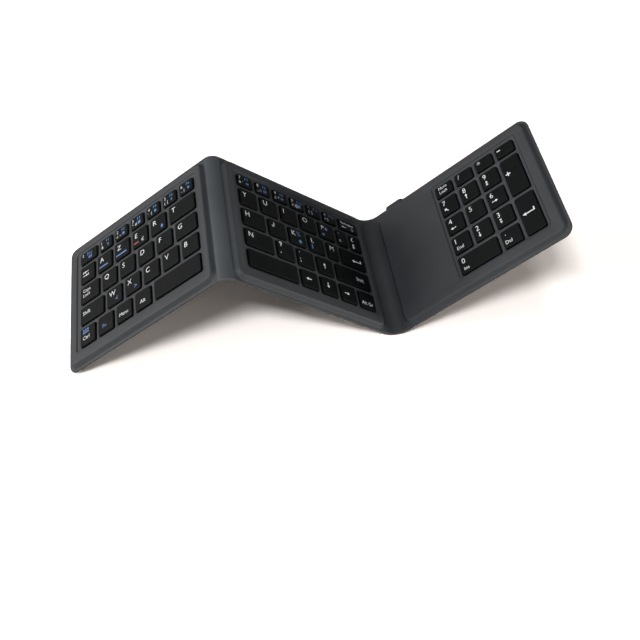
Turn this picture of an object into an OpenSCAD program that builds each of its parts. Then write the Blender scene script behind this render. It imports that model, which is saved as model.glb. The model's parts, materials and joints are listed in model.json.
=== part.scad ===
// Folding keyboard of three hinged panels in one soft skin, standing as a zigzag.
// Origin under the middle of its footprint, on the table. X runs along the panels, Y to the rear.

/* [Panels] */
// Length of each raised panel along X
panel_len = 119.6; // [110:0.1:125]
// Depth of the whole keyboard, front to rear
depth = 95; // [92:0.5:110]
// Width of the thin rim that runs round the outside
rim_w = 3.4; // [1.5:0.1:4]
// Thickness of the rim and of the two fold webs
rim_t = 1.5; // [1.2:0.1:1.8]
// Corner radius of the rim in plan
rim_corner_r = 7; // [3:0.5:10]
// Corner radius of a raised panel in plan
panel_corner_r = 5; // [2:0.5:8]

/* [Heights] */
// From a panel's underside up to the middle of its rim
rim_mid_h = 3; // [2.8:0.1:3]
// From a panel's underside up to its raised top
panel_h = 6.6; // [6.4:0.1:7]
// Depth of the key tray below the raised top
tray_drop = 0.8; // [0.5:0.1:1]
// Height of the key tops above the tray
key_rise = 1.2; // [0.8:0.1:1.4]
// Slope of the raised edges: how far the top and the underside draw in
edge_draw = 0.8; // [0.4:0.1:1]

/* [Folds] */
// Length of the left fold web, measured flat
web_left_len = 9; // [8.6:0.1:12]
// Length of the right fold web, measured flat
web_right_len = 15.6; // [14:0.1:18]
// Distance between the two creases of the left web
crease_left = 6.4; // [6.2:0.1:8]
// Distance between the two creases of the right web
crease_right = 10.2; // [9:0.1:12]
// Angle by which the left web is folded as it stands
fold_left = 79.2; // [40:0.2:100]
// Angle by which the right web is folded as it stands
fold_right = 82.4; // [40:0.2:100]

/* [Keys] */
// Pitch of the letter keys along X
key_pitch = 16; // [15:0.1:16]
// Pitch of the key rows along Y
row_pitch = 15.6; // [15:0.1:16]
// Depth of the key openings in the four lower rows
key_d = 13.5; // [12.5:0.1:13.5]
// Depth of the key openings in the top row
top_key_d = 9.6; // [9:0.1:10]
// Width of the skin between two key openings
key_web = 2.1; // [1.8:0.1:2.5]
// Pitch of the digit keys on the left panel
digit_pitch = 14.3; // [13.8:0.1:14.5]
// Pitch of the digit keys on the middle panel
middle_digit_pitch = 14.1; // [13.8:0.1:14.2]
// From the left edge of the key field to the first digit key
digit_x = 18.4; // [16:0.1:19]
// Width of the opening for the last digit key on the left panel
end_digit_w = 12.1; // [11:0.1:13]
// Width of the opening for the backspace key
backspace_w = 17.4; // [16:0.1:19]
// Width of the key field on the left and middle panels
field_w = 102; // [101:0.5:103]
// From a panel's left end to its key field
field_x = 9.7; // [8:0.1:11]
// From the right panel's left end to its number pad
pad_x = 48.8; // [46:0.2:50]
// From the front edge of the keyboard to the first key row
field_y = 11.4; // [10.5:0.1:12]
// Clearance round a key in its opening
key_gap = 0.2; // [0.15:0.05:0.3]
// Corner radius of the key openings
key_corner_r = 1.4; // [0.8:0.1:2]

/* [Tray] */
// Tray margin to the left of the keys on the left panel
tray_left = 3.6; // [1:0.1:4]
// Tray margin to the left of the keys on the middle panel
tray_middle = 2.4; // [1:0.1:3]
// Tray margin to the right of the keys
tray_right = 2; // [0.6:0.1:2.4]
// Tray margin behind the keys
tray_rear = 2.3; // [1:0.1:3]
// Tray margin in front of the keys
tray_front = 1; // [0.4:0.1:2]
// Corner radius of the tray
tray_corner_r = 2.5; // [1.5:0.1:4]

/* [Shells] */
// Side walls of the skins
wall = 1.2; // [1:0.1:1.4]
// Floor of the lower skin
floor_t = 0.8; // [0.6:0.1:1]
// Skin sheet between the keys
sheet_t = 1; // [0.8:0.1:1.2]
// Roof of the right panel beside the number pad
roof_t = 1; // [0.8:0.1:1.2]

/* [Key mechanism] */
// Stiff plate under the keys
plate_t = 0.5; // [0.4:0.1:0.6]
// Contact membrane on the plate
membrane_t = 0.4; // [0.3:0.1:0.5]
// Top of a key cap
cap_top_t = 1.1; // [0.9:0.1:1.2]
// Skirt of a key cap below its top
cap_skirt = 0.9; // [0.6:0.1:1.2]
// Wall of a key cap's skirt
cap_wall = 0.8; // [0.6:0.1:1]
// Bevel round the top of a key cap
cap_bevel = 0.25; // [0.1:0.05:0.3]
// Length of the raised bar that a fingertip finds on three of the keys
bar_l = 3; // [2:0.1:5]
// Width of that bar
bar_w = 0.5; // [0.3:0.05:0.8]
// Height of that bar
bar_h = 0.2; // [0.1:0.05:0.3]
// From the front of the key's opening to that bar
bar_front = 2.4; // [1.5:0.1:3]
// Base radius of a rubber dome
dome_r = 2.4; // [2:0.1:2.5]
// Height of a rubber dome
dome_h = 2.9; // [2.6:0.1:3]
// Wall of a rubber dome
dome_wall = 0.4; // [0.3:0.05:0.4]
// Width of a scissor link's bars
link_bar = 0.8; // [0.7:0.05:0.9]
// Thickness of a scissor link
link_t = 0.9; // [0.8:0.05:1]
// Radius of a scissor link's pivot pins
link_pin_r = 0.2; // [0.15:0.05:0.2]

/* [Electronics] */
// Length of the battery along X
battery_l = 40; // [30:1:40]
// Room between the battery and the circuit board
battery_to_board = 3.6; // [1:0.1:20]
// Thickness of the battery
battery_t = 4; // [3:0.2:4.4]
// Length of the circuit board along X
board_l = 41; // [30:1:41]
// Depth of the circuit board along Y
board_d = 23; // [18:1:24]
// Thickness of the circuit board
board_t = 0.8; // [0.6:0.1:1]
// Corner radius of the circuit board
board_corner_r = 1.5; // [0.5:0.5:4]
// Middle of the charging port, from the right panel's left end
port_x = 16.2; // [12:0.1:18]
// Width of the charging port's shell
port_w = 7.6; // [7:0.1:9]
// Height of the charging port's shell
port_h = 2.9; // [2.6:0.1:3]
// Length of the charging port's shell
port_l = 7.2; // [6:0.1:8]
// Length of the bulge on the rear rim round the port
bulge_l = 12; // [11:0.2:16]
// Slope at each end of that bulge
bulge_slope = 2; // [0.5:0.1:2.5]
// Width of the flat cable through each fold
flex_w = 16; // [8:1:18]
// From the rear edge of the keyboard to the flat cables
flex_rear = 11.5; // [8:0.5:14]
// Thickness of that cable
flex_t = 0.3; // [0.2:0.05:0.35]

/* [Hidden] */
$fn = 32;

skin_grey = "#57595c";
key_black = "#1d1f21";
half_left = fold_left / 2;
half_right = fold_right / 2;
// Web left over outside the creases at each end
stub_left = (web_left_len - crease_left) / 2;
stub_right = (web_right_len - crease_right) / 2;
// Radius at which each web bends between its two panels
bend_left = (crease_left + 2 * stub_left * cos(half_left)) / 2 / sin(half_left);
bend_right = (crease_right + 2 * stub_right * cos(half_right)) / 2 / sin(half_right);
// Points of the zigzag in the middle panel's own X and Z, measured at the rim's mid height
crease_lm = [-stub_left, 0];
crease_ll = crease_lm - crease_left * [cos(half_left), sin(half_left)];
left_dir = [cos(fold_left), sin(fold_left)];
left_at = crease_ll - (stub_left + panel_len) * left_dir;
crease_rm = [panel_len + stub_right, 0];
crease_rr = crease_rm + crease_right * [cos(half_right), sin(half_right)];
right_dir = [cos(fold_right), sin(fold_right)];
right_at = crease_rr + stub_right * right_dir;
// The lean of the middle panel that sets the left end's rim and the right web on the table
toe = left_at - rim_w * left_dir + rim_t / 2 * [left_dir[1], -left_dir[0]];
toe_to_bend = [panel_len, bend_right] - toe;
lean = asin((bend_right + rim_t / 2) / norm(toe_to_bend))
    - atan2(toe_to_bend[1], toe_to_bend[0]);
function leaned(p) = [p[0] * cos(lean) - p[1] * sin(lean), p[0] * sin(lean) + p[1] * cos(lean)];
// Ends of the whole keyboard along X, and where that puts the middle panel
left_tip = left_at - rim_w * left_dir - rim_t / 2 * [left_dir[1], -left_dir[0]];
right_tip = right_at + (panel_len + rim_w) * right_dir + rim_t / 2 * [right_dir[1], -right_dir[0]];
middle_x = -(leaned(left_tip)[0] + leaned(right_tip)[0]) / 2;
middle_z = -leaned(toe)[1];

// Heights in a panel, from its underside
rim_bottom = rim_mid_h - rim_t / 2;
rim_top = rim_mid_h + rim_t / 2;
tray_h = panel_h - tray_drop;
sheet_under = tray_h - sheet_t;
key_top = tray_h + key_rise;
cap_under = key_top - cap_top_t;
plate_top = floor_t + plate_t;
membrane_top = plate_top + membrane_t;
y_edge = depth / 2;
y_panel = y_edge - rim_w;
y_field = field_y - y_edge;
field_d = 4 * row_pitch + top_key_d;
// Height of the drawn-in edge at the top of a raised panel
shoulder_h = 1;
// How far a cutting solid runs past what it cuts, and how far joined solids run into each other
cut = 1;
seam = 0.01;
// Front edge of the flat cables, the play round them, where their ends bend and stop, and the
// steps of their bend
flex_y = y_edge - flex_rear - flex_w;
slot_play = 0.25;
cable_level = 3;
cable_down = 5;
cable_tip = 8;
cable_steps = 12;
// The right panel's plate starts just beside the number pad's tray
pad_plate_x = pad_x - 2.4;
plate_play = 0.4;
// Widest scissor link, width from which a key has two of them, and the plays round them
max_link_w = 16;
two_dome_w = 26;
link_play = 0.15;
link_clear = 0.4;
pin_play = 0.05;
dome_clear = 0.3;
dome_roof = 0.8;
dome_draw = 0.3;
// How far the port's bulge stays below the raised top and above the underside
bulge_under_top = 0.5;
bulge_over_floor = 0.2;
// Charging port: sheet of the shell, its rear wall, its setback and the tongue inside
port_shell = 0.3;
port_back = 0.8;
port_setback = 0.2;
tongue_w = 3.6;
tongue_t = 0.6;
tongue_end = 1.3;
// Front edges of the battery, just behind the front wall, and of the circuit board
battery_gap = 1;
battery_y = wall + battery_gap - y_panel;
board_y = y_panel - wall - plate_play - board_d;
// Chips on the circuit board: [x, y, side, height]
chips = [[12, 9, 6, 1], [26, 12, 4, 0.8], [33, 5, 3, 0.8]];

// Where the staggered rows start, and the keys that break the pitch
home_x = 1.25 * key_pitch;
lower_x = 1.5 * key_pitch;
arrow_x = 2.5 * key_pitch;
enter_x = 5 * key_pitch;
last_x = 5.75 * key_pitch;
// Lengths of the rows at their own pitches
letter_row = 6.375 * key_pitch;
left_digit_row = digit_x + 5 * digit_pitch + end_digit_w;
middle_digit_row = 6 * middle_digit_pitch + backspace_w;
pad_w = 4 * key_pitch - key_web;
pad_side_w = 3 * key_pitch - key_web;

// Key tables: each key is [row, x in its field, width of its opening, rows it spans]. What the field
// is wider or narrower than a row is shared evenly by the keys of the row.
function starts(first, pitch, count) = [for (i = [0 : count - 1]) first + i * pitch];
function shared(xs, length, end) = [for (i = [0 : len(xs) - 1]) xs[i] + (end - length) * i / len(xs)];
function widths(row, xs, end) = [for (i = [0 : len(xs) - 1])
    [row, xs[i], (i + 1 < len(xs) ? xs[i + 1] - key_web : end) - xs[i], 1]];
function keys_of(row, xs, length = letter_row, end = field_w) =
    widths(row, shared(xs, length, end), end);
left_1 = keys_of(1, concat([0], starts(digit_x, digit_pitch, 6)), left_digit_row);
left_2 = keys_of(2, starts(0, key_pitch, 6));
left_3 = keys_of(3, concat([0], starts(home_x, key_pitch, 5)));
left_4 = keys_of(4, concat([0], starts(lower_x, key_pitch, 5)));
left_5 = keys_of(5, starts(0, key_pitch, 5));
middle_1 = keys_of(1, starts(0, middle_digit_pitch, 7), middle_digit_row);
middle_2 = keys_of(2, concat(starts(0, key_pitch, 6), [last_x]));
middle_3 = keys_of(3, concat([0], starts(home_x, key_pitch, 4), [enter_x]));
middle_4 = keys_of(4, concat([0], starts(lower_x, key_pitch, 4)));
middle_5 = keys_of(5, concat([0], starts(arrow_x, key_pitch, 4)));
pad_1 = widths(1, starts(0, key_pitch, 4), pad_w);
pad_2 = widths(2, starts(0, key_pitch, 3), pad_side_w);
pad_3 = widths(3, starts(0, key_pitch, 3), pad_side_w);
pad_4 = widths(4, starts(0, key_pitch, 3), pad_side_w);
pad_plus = [3, 3 * key_pitch, key_pitch - key_web, 2];
pad_enter = [5, 3 * key_pitch, key_pitch - key_web, 2];
pad_zero = [5, 0, 2 * key_pitch - key_web, 1];
pad_dot = [5, 2 * key_pitch, key_pitch - key_web, 1];
left_keys = concat(left_1, left_2, left_3, left_4, left_5);
middle_keys = concat(middle_1, middle_2, middle_3, middle_4, middle_5);
pad_keys = concat(pad_1, pad_2, pad_3, pad_4, [pad_plus, pad_enter, pad_zero, pad_dot]);

function row_front(row) = y_field + (5 - row) * row_pitch;
function opening_d(k) = (k[0] == 1 ? top_key_d : key_d) + (k[3] - 1) * row_pitch;
function dome_xs(k) = k[2] > two_dome_w ? [k[2] / 4, k[2] * 3 / 4] : [k[2] / 2];
function link_w(k) = min(k[2] / len(dome_xs(k)), max_link_w)
    - 2 * (key_gap + cap_wall + link_clear);
function inner_link_w(k) = link_w(k) - 2 * (link_bar + link_play);
function dome_radius(k) = min(dome_r, inner_link_w(k) / 2 - link_bar - dome_clear);
function field_end(keys) = max([for (k = keys) k[1] + k[2]]);
function part_of(list, from, to) = [for (i = [from : to]) list[i]];

// Placing: each panel's own frame has X from its left end, Y from mid depth, Z from its underside
module on_middle() translate([middle_x, 0, middle_z]) rotate([0, -lean, 0]) children();
module middle_frame() on_middle() translate([0, 0, -rim_mid_h]) children();
module left_frame() on_middle() translate([left_at[0], 0, left_at[1]])
    rotate([0, -fold_left, 0]) translate([0, 0, -rim_mid_h]) children();
module right_frame() on_middle() translate([right_at[0], 0, right_at[1]])
    rotate([0, -fold_right, 0]) translate([0, 0, -rim_mid_h]) children();

module rounded(x0, x1, y0, y1, r) {
    translate([x0 + r, y0]) square([x1 - x0 - 2 * r, y1 - y0]);
    translate([x0, y0 + r]) square([x1 - x0, y1 - y0 - 2 * r]);
    for (x = [x0 + r, x1 - r], y = [y0 + r, y1 - r]) translate([x, y]) circle(r);
}

// Plan of one panel with its rim: a free end is round and carries the rim, a web end is square
module panel_outline(left_free, right_free) {
    x0 = left_free ? -rim_w : 0;
    x1 = right_free ? panel_len + rim_w : panel_len;
    rounded(x0, x1, -y_edge, y_edge, rim_corner_r);
    if (!left_free) translate([x0, -y_edge]) square([rim_corner_r, depth]);
    if (!right_free) translate([x1 - rim_corner_r, -y_edge]) square([rim_corner_r, depth]);
}

module panel_plan(inset = 0) rounded(inset, panel_len - inset, inset - y_panel, y_panel - inset,
    panel_corner_r - inset);

// Tapered slab between the plan at one height and the drawn-in plan at the other
module tapered_slab(z_wide, z_narrow) {
    sx = (panel_len - 2 * edge_draw) / panel_len;
    sy = (y_panel - edge_draw) / y_panel;
    translate([panel_len / 2, 0, z_wide]) mirror([0, 0, z_narrow < z_wide ? 1 : 0])
        linear_extrude(abs(z_narrow - z_wide), scale = [sx, sy], slices = 1)
            translate([-panel_len / 2, 0]) panel_plan();
}

module tray(x, w, x_margin) translate([0, 0, tray_h]) linear_extrude(tray_drop + cut)
    rounded(x - x_margin, x + w + tray_right, y_field - tray_front,
        y_field + field_d + tray_rear, tray_corner_r);

module key_opening(k, x) translate([x + k[1], row_front(k[0]), sheet_under - cut])
    linear_extrude(sheet_t + 2 * cut) rounded(0, k[2], 0, opening_d(k), key_corner_r);

module cavity(x0, x1, z0, z1) translate([0, 0, z0]) linear_extrude(z1 - z0)
    rounded(x0, x1, wall - y_panel, y_panel - wall, panel_corner_r - wall);

module flex_slot(x) translate([x - cut, flex_y - slot_play, rim_mid_h - flex_t / 2 - slot_play])
    cube([wall + 2 * cut, flex_w + 2 * slot_play, flex_t + 2 * slot_play]);

module panel_top(left_free, right_free, keys, x, tray_x) difference() {
    union() {
        translate([0, 0, rim_mid_h]) linear_extrude(rim_t / 2) panel_outline(left_free, right_free);
        translate([0, 0, rim_mid_h]) linear_extrude(panel_h - shoulder_h - rim_mid_h) panel_plan();
        tapered_slab(panel_h - shoulder_h, panel_h);
    }
    cavity(wall, panel_len - wall, rim_mid_h - cut, sheet_under);
    tray(x, field_end(keys), tray_x);
    for (k = keys) key_opening(k, x);
    if (!left_free) flex_slot(0);
    if (!right_free) flex_slot(panel_len - wall);
}

module panel_bottom(left_free, right_free) difference() {
    union() {
        translate([0, 0, rim_bottom]) linear_extrude(rim_t / 2) panel_outline(left_free, right_free);
        tapered_slab(rim_bottom, 0);
    }
    cavity(wall, panel_len - wall, floor_t, rim_mid_h + cut);
    if (!left_free) flex_slot(0);
    if (!right_free) flex_slot(panel_len - wall);
}

// Half of the bulge on the rear rim that houses the charging port, from the rim to a height
module port_bulge(z) translate([port_x, y_edge, 0]) rotate([90, 0, 0])
    linear_extrude(rim_w + wall) polygon([
        [-bulge_l / 2 - bulge_slope, rim_mid_h], [-bulge_l / 2, z],
        [bulge_l / 2, z], [bulge_l / 2 + bulge_slope, rim_mid_h]]);
module port_hole() translate([port_x - port_w / 2 - key_gap, y_panel - wall - cut,
    floor_t + board_t - key_gap])
    cube([port_w + 2 * key_gap, rim_w + wall + 2 * cut, port_h + 2 * key_gap]);

module middle_top_skin() color(skin_grey) middle_frame()
    panel_top(false, false, middle_keys, field_x, tray_middle);
module left_top_skin() color(skin_grey) left_frame()
    panel_top(true, false, left_keys, field_x, tray_left);
module right_top_skin() color(skin_grey) right_frame() difference() {
    union() {
        panel_top(false, true, pad_keys, pad_x, tray_right);
        port_bulge(panel_h - bulge_under_top);
    }
    cavity(wall, pad_plate_x, rim_mid_h - cut, panel_h - roof_t);
    port_hole();
}
module middle_bottom_skin() color(skin_grey) middle_frame() panel_bottom(false, false);
module left_bottom_skin() color(skin_grey) left_frame() panel_bottom(true, false);
module right_bottom_skin() color(skin_grey) right_frame() difference() {
    union() {
        panel_bottom(false, true);
        port_bulge(bulge_over_floor + floor_t);
    }
    port_hole();
}

// Profile of a band bent about [0, 0] through an angle, from straight below it towards +X
module bent_band(r, t, angle) intersection() {
    difference() {
        circle(r + t / 2, $fn = 96);
        circle(r - t / 2, $fn = 96);
    }
    polygon([[0, 0], [0, -2 * r], [2 * r * tan(angle / 2), -2 * r],
        [2 * r * sin(angle), -2 * r * cos(angle)]]);
}
// The left web bends down from the middle panel's left end, the right web up from its right end
module left_bend(w) on_middle() translate([0, w / 2, -bend_left]) rotate([90, 0, 0])
    linear_extrude(w) rotate(180) children();
module right_bend(w) on_middle() translate([panel_len, w / 2, bend_right]) rotate([90, 0, 0])
    linear_extrude(w) children();
module cable_room() translate([0, flex_y + flex_w / 2, 0]) children();

module fold_web_left() color(skin_grey) difference() {
    left_bend(depth) bent_band(bend_left, rim_t, fold_left);
    cable_room() left_bend(flex_w + 2 * slot_play)
        bent_band(bend_left, flex_t + slot_play, fold_left);
}
module fold_web_right() color(skin_grey) difference() {
    right_bend(depth) bent_band(bend_right, rim_t, fold_right);
    cable_room() right_bend(flex_w + 2 * slot_play)
        bent_band(bend_right, flex_t + slot_play, fold_right);
}

// Centre line of a flat cable, in the middle panel's X and Z at the rim's mid height. Inside a panel
// it runs level through the wall, then down onto what it lands on.
function cable_end(land) = [[0, 0], [cable_level, 0],
    [cable_down, land + flex_t / 2 - rim_mid_h], [cable_tip, land + flex_t / 2 - rim_mid_h]];
function reversed(list) = [for (i = [len(list) - 1 : -1 : 0]) list[i]];
function turned(p, angle) = [p[0] * cos(angle) - p[1] * sin(angle),
    p[0] * sin(angle) + p[1] * cos(angle)];
function arc_left(a) = bend_left * [-sin(a), cos(a) - 1];
function arc_right(a) = [panel_len, 0] + bend_right * [sin(a), 1 - cos(a)];
cable_line_left = concat(
    reversed(cable_end(membrane_top)),
    [for (i = [1 : cable_steps - 1]) arc_left(i * fold_left / cable_steps)],
    [for (p = cable_end(membrane_top)) left_at + turned([panel_len - p[0], p[1]], fold_left)]);
cable_line_right = concat(
    [for (p = reversed(cable_end(membrane_top))) [panel_len - p[0], p[1]]],
    [for (i = [1 : cable_steps - 1]) arc_right(i * fold_right / cable_steps)],
    [for (p = cable_end(floor_t + board_t)) right_at + turned(p, fold_right)]);

// Outline of a strip of even thickness about a line of points, mitred at each point
function along(a, b) = (b - a) / norm(b - a);
function mitred(line, i, side) = let(
    before = along(line[max(i, 1) - 1], line[max(i, 1)]),
    after = along(line[min(i, len(line) - 2)], line[min(i, len(line) - 2) + 1]),
    both = before + after) line[i] + side * [-both[1], both[0]] / (1 + before * after);
function strip(line, t) = concat(
    [for (i = [0 : len(line) - 1]) mitred(line, i, t / 2)],
    [for (i = [len(line) - 1 : -1 : 0]) mitred(line, i, -t / 2)]);
module flex_cable(line) color("#8a5a1c") on_middle() translate([0, flex_y + flex_w, 0])
    rotate([90, 0, 0]) linear_extrude(flex_w) polygon(strip(line, flex_t));
module flex_cable_left() flex_cable(cable_line_left);
module flex_cable_right() flex_cable(cable_line_right);

module sheet(x0, z, t, play) translate([0, 0, z]) linear_extrude(t)
    rounded(x0 + play, panel_len - wall - play, play + wall - y_panel, y_panel - wall - play,
        panel_corner_r - wall - play);
module base_plate(x0) color("#9aa0a6") sheet(x0, floor_t, plate_t, plate_play);
module membrane(x0) color("#cfd6cf") sheet(x0, plate_top, membrane_t, 2 * plate_play);
module left_base_plate() left_frame() base_plate(wall);
module middle_base_plate() middle_frame() base_plate(wall);
module right_base_plate() right_frame() base_plate(pad_plate_x);
module left_membrane() left_frame() membrane(wall);
module middle_membrane() middle_frame() membrane(wall);
module right_membrane() right_frame() membrane(pad_plate_x);

module dome(k) difference() {
    cylinder(h = dome_h, r1 = dome_radius(k), r2 = dome_radius(k) / 2, $fn = 24);
    translate([0, 0, -seam]) cylinder(h = dome_h - dome_roof, r1 = dome_radius(k) - dome_wall,
        r2 = dome_radius(k) / 2 - dome_draw, $fn = 24);
}
// Puts a child at each dome position of a key, on the membrane
module at_domes(k, x) for (dx = dome_xs(k))
    translate([x + k[1] + dx, row_front(k[0]) + opening_d(k) / 2, membrane_top]) children();
module domes(keys, x) color("#b9bcc0") for (k = keys) at_domes(k, x) dome(k);
module left_domes() left_frame() domes(left_keys, field_x);
module middle_domes() middle_frame() domes(middle_keys, field_x);
module right_domes() right_frame() domes(pad_keys, pad_x);

// Scissor pair: two frames that cross on pivot pins and reach from the membrane to the cap
link_room = cap_under - membrane_top;
function link_reach(k) = min(opening_d(k), key_d) / 2 - key_gap - cap_wall - link_clear;
function link_tilt(k) = atan2(link_room / 2 - link_t / 2, link_reach(k) - link_play);
function link_half(k) = (link_room / 2 - link_t / 2 * cos(link_tilt(k))) / sin(link_tilt(k));
module link_frame(w, half) difference() {
    translate([-w / 2, -half, -link_t / 2]) cube([w, 2 * half, link_t]);
    translate([link_bar - w / 2, link_bar - half, -link_t])
        cube([w - 2 * link_bar, 2 * (half - link_bar), 2 * link_t]);
}
module scissor_pair(k) translate([0, 0, link_room / 2]) {
    rotate([link_tilt(k), 0, 0]) difference() {
        link_frame(link_w(k), link_half(k));
        rotate([0, 90, 0]) cylinder(h = link_w(k) + cut, r = link_pin_r + pin_play,
            center = true, $fn = 16);
    }
    rotate([-link_tilt(k), 0, 0]) {
        link_frame(inner_link_w(k), link_half(k));
        for (s = [-1, 1]) translate([s * (inner_link_w(k) / 2 + link_bar / 2 - link_play), 0, 0])
            rotate([0, 90, 0]) cylinder(h = link_bar + link_play, r = link_pin_r, center = true, $fn = 16);
    }
}
module scissors(keys, x) color("#e4e6e8") for (k = keys) at_domes(k, x) scissor_pair(k);
module left_scissors() left_frame() scissors(left_keys, field_x);
module middle_scissors() middle_frame() scissors(middle_keys, field_x);
module right_scissors() right_frame() scissors(pad_keys, pad_x);

module battery() color("#b7bcc2") right_frame()
    translate([(pad_plate_x + wall - battery_l) / 2, battery_y, floor_t])
        cube([battery_l, board_y - battery_to_board - battery_y, battery_t]);
module main_board() color("#1f5a36") right_frame()
    translate([(pad_plate_x + wall - board_l) / 2, board_y, floor_t]) {
        linear_extrude(board_t) rounded(0, board_l, 0, board_d, board_corner_r);
        for (c = chips) translate([c[0], c[1], board_t - seam]) cube([c[2], c[2], c[3] + seam]);
    }
module charge_port() color("#b9bcc0") right_frame()
    translate([port_x - port_w / 2, y_edge - port_setback - port_l, floor_t + board_t]) {
        difference() {
            cube([port_w, port_l, port_h]);
            translate([port_shell, port_back, port_shell])
                cube([port_w - 2 * port_shell, port_l, port_h - 2 * port_shell]);
        }
        translate([(port_w - tongue_w) / 2, port_back - seam, (port_h - tongue_t) / 2])
            cube([tongue_w, port_l - port_back - tongue_end, tongue_t]);
    }

// A cap is a hollow block whose top edges are drawn in, with a boss that meets its dome
module cap(k, x) {
    w = k[2] - 2 * key_gap;
    d = opening_d(k) - 2 * key_gap;
    r = key_corner_r - key_gap;
    translate([x + k[1] + key_gap, row_front(k[0]) + key_gap, 0]) difference() {
        union() {
            translate([0, 0, cap_under - cap_skirt]) linear_extrude(cap_top_t + cap_skirt - cap_bevel)
                rounded(0, w, 0, d, r);
            translate([0, 0, key_top - cap_bevel - seam]) linear_extrude(cap_bevel + seam)
                rounded(cap_bevel, w - cap_bevel, cap_bevel, d - cap_bevel, r - cap_bevel / 2);
        }
        translate([cap_wall, cap_wall, cap_under - cap_skirt - cut])
            cube([w - 2 * cap_wall, d - 2 * cap_wall, cap_skirt + cut]);
    }
    for (dx = dome_xs(k)) translate([x + k[1] + dx, row_front(k[0]) + opening_d(k) / 2,
        membrane_top + dome_h]) cylinder(h = cap_under - membrane_top - dome_h + seam,
        r = dome_radius(k) / 2, $fn = 24);
}
module caps(keys, x) color(key_black) for (k = keys) cap(k, x);
module finger_bar(k, x) color(key_black) translate([x + k[1] + (k[2] - bar_l) / 2,
    row_front(k[0]) + bar_front, key_top - seam]) cube([bar_l, bar_w, bar_h + seam]);

module key_esc() left_frame() caps([left_1[0]], field_x);
module key_tab() left_frame() caps([left_2[0]], field_x);
module key_caps() left_frame() caps([left_3[0]], field_x);
module key_shift_left() left_frame() caps([left_4[0]], field_x);
module key_ctrl() left_frame() caps([left_5[0]], field_x);
module key_fn() left_frame() caps([left_5[1]], field_x);
module key_menu() left_frame() caps([left_5[2]], field_x);
module key_alt() left_frame() caps([left_5[3]], field_x);
module key_space_left() left_frame() caps([left_5[4]], field_x);
module keys_digits_left() left_frame() caps(part_of(left_1, 1, 6), field_x);
module keys_upper_left() left_frame() caps(part_of(left_2, 1, 5), field_x);
module keys_home_left() left_frame() {
    caps(part_of(left_3, 1, 5), field_x);
    finger_bar(left_3[4], field_x);
}
module keys_lower_left() left_frame() caps(part_of(left_4, 1, 5), field_x);
module key_backspace() middle_frame() caps([middle_1[6]], field_x);
module key_enter() middle_frame() caps([middle_3[5]], field_x);
module key_shift_right() middle_frame() caps([middle_4[4]], field_x);
module key_up() middle_frame() caps([middle_4[3]], field_x);
module key_left() middle_frame() caps([middle_5[1]], field_x);
module key_down() middle_frame() caps([middle_5[2]], field_x);
module key_right() middle_frame() caps([middle_5[3]], field_x);
module key_alt_gr() middle_frame() caps([middle_5[4]], field_x);
module key_space_right() middle_frame() caps([middle_5[0]], field_x);
module keys_digits_middle() middle_frame() caps(part_of(middle_1, 0, 5), field_x);
module keys_upper_middle() middle_frame() caps(part_of(middle_2, 0, 6), field_x);
module keys_home_middle() middle_frame() {
    caps(part_of(middle_3, 0, 4), field_x);
    finger_bar(middle_3[1], field_x);
}
module keys_lower_middle() middle_frame() caps(part_of(middle_4, 0, 2), field_x);
module key_num_lock() right_frame() caps([pad_1[0]], pad_x);
module key_plus() right_frame() caps([pad_plus], pad_x);
module key_pad_enter() right_frame() caps([pad_enter], pad_x);
module key_zero() right_frame() caps([pad_zero], pad_x);
module key_decimal() right_frame() caps([pad_dot], pad_x);
module keys_pad_operators() right_frame() caps(part_of(pad_1, 1, 3), pad_x);
module keys_pad_upper() right_frame() caps(pad_2, pad_x);
module keys_pad_centre() right_frame() {
    caps(pad_3, pad_x);
    finger_bar(pad_3[1], pad_x);
}
module keys_pad_lower() right_frame() caps(pad_4, pad_x);

middle_top_skin();
left_top_skin();
right_top_skin();
middle_bottom_skin();
left_bottom_skin();
right_bottom_skin();
fold_web_left();
fold_web_right();
flex_cable_left();
flex_cable_right();
left_base_plate();
middle_base_plate();
right_base_plate();
left_membrane();
middle_membrane();
right_membrane();
left_domes();
middle_domes();
right_domes();
left_scissors();
middle_scissors();
right_scissors();
battery();
main_board();
charge_port();
key_esc();
key_tab();
key_caps();
key_shift_left();
key_ctrl();
key_fn();
key_menu();
key_alt();
key_space_left();
keys_digits_left();
keys_upper_left();
keys_home_left();
keys_lower_left();
key_backspace();
key_enter();
key_shift_right();
key_up();
key_left();
key_down();
key_right();
key_alt_gr();
key_space_right();
keys_digits_middle();
keys_upper_middle();
keys_home_middle();
keys_lower_middle();
key_num_lock();
key_plus();
key_pad_enter();
key_zero();
key_decimal();
keys_pad_operators();
keys_pad_upper();
keys_pad_centre();
keys_pad_lower();
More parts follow.
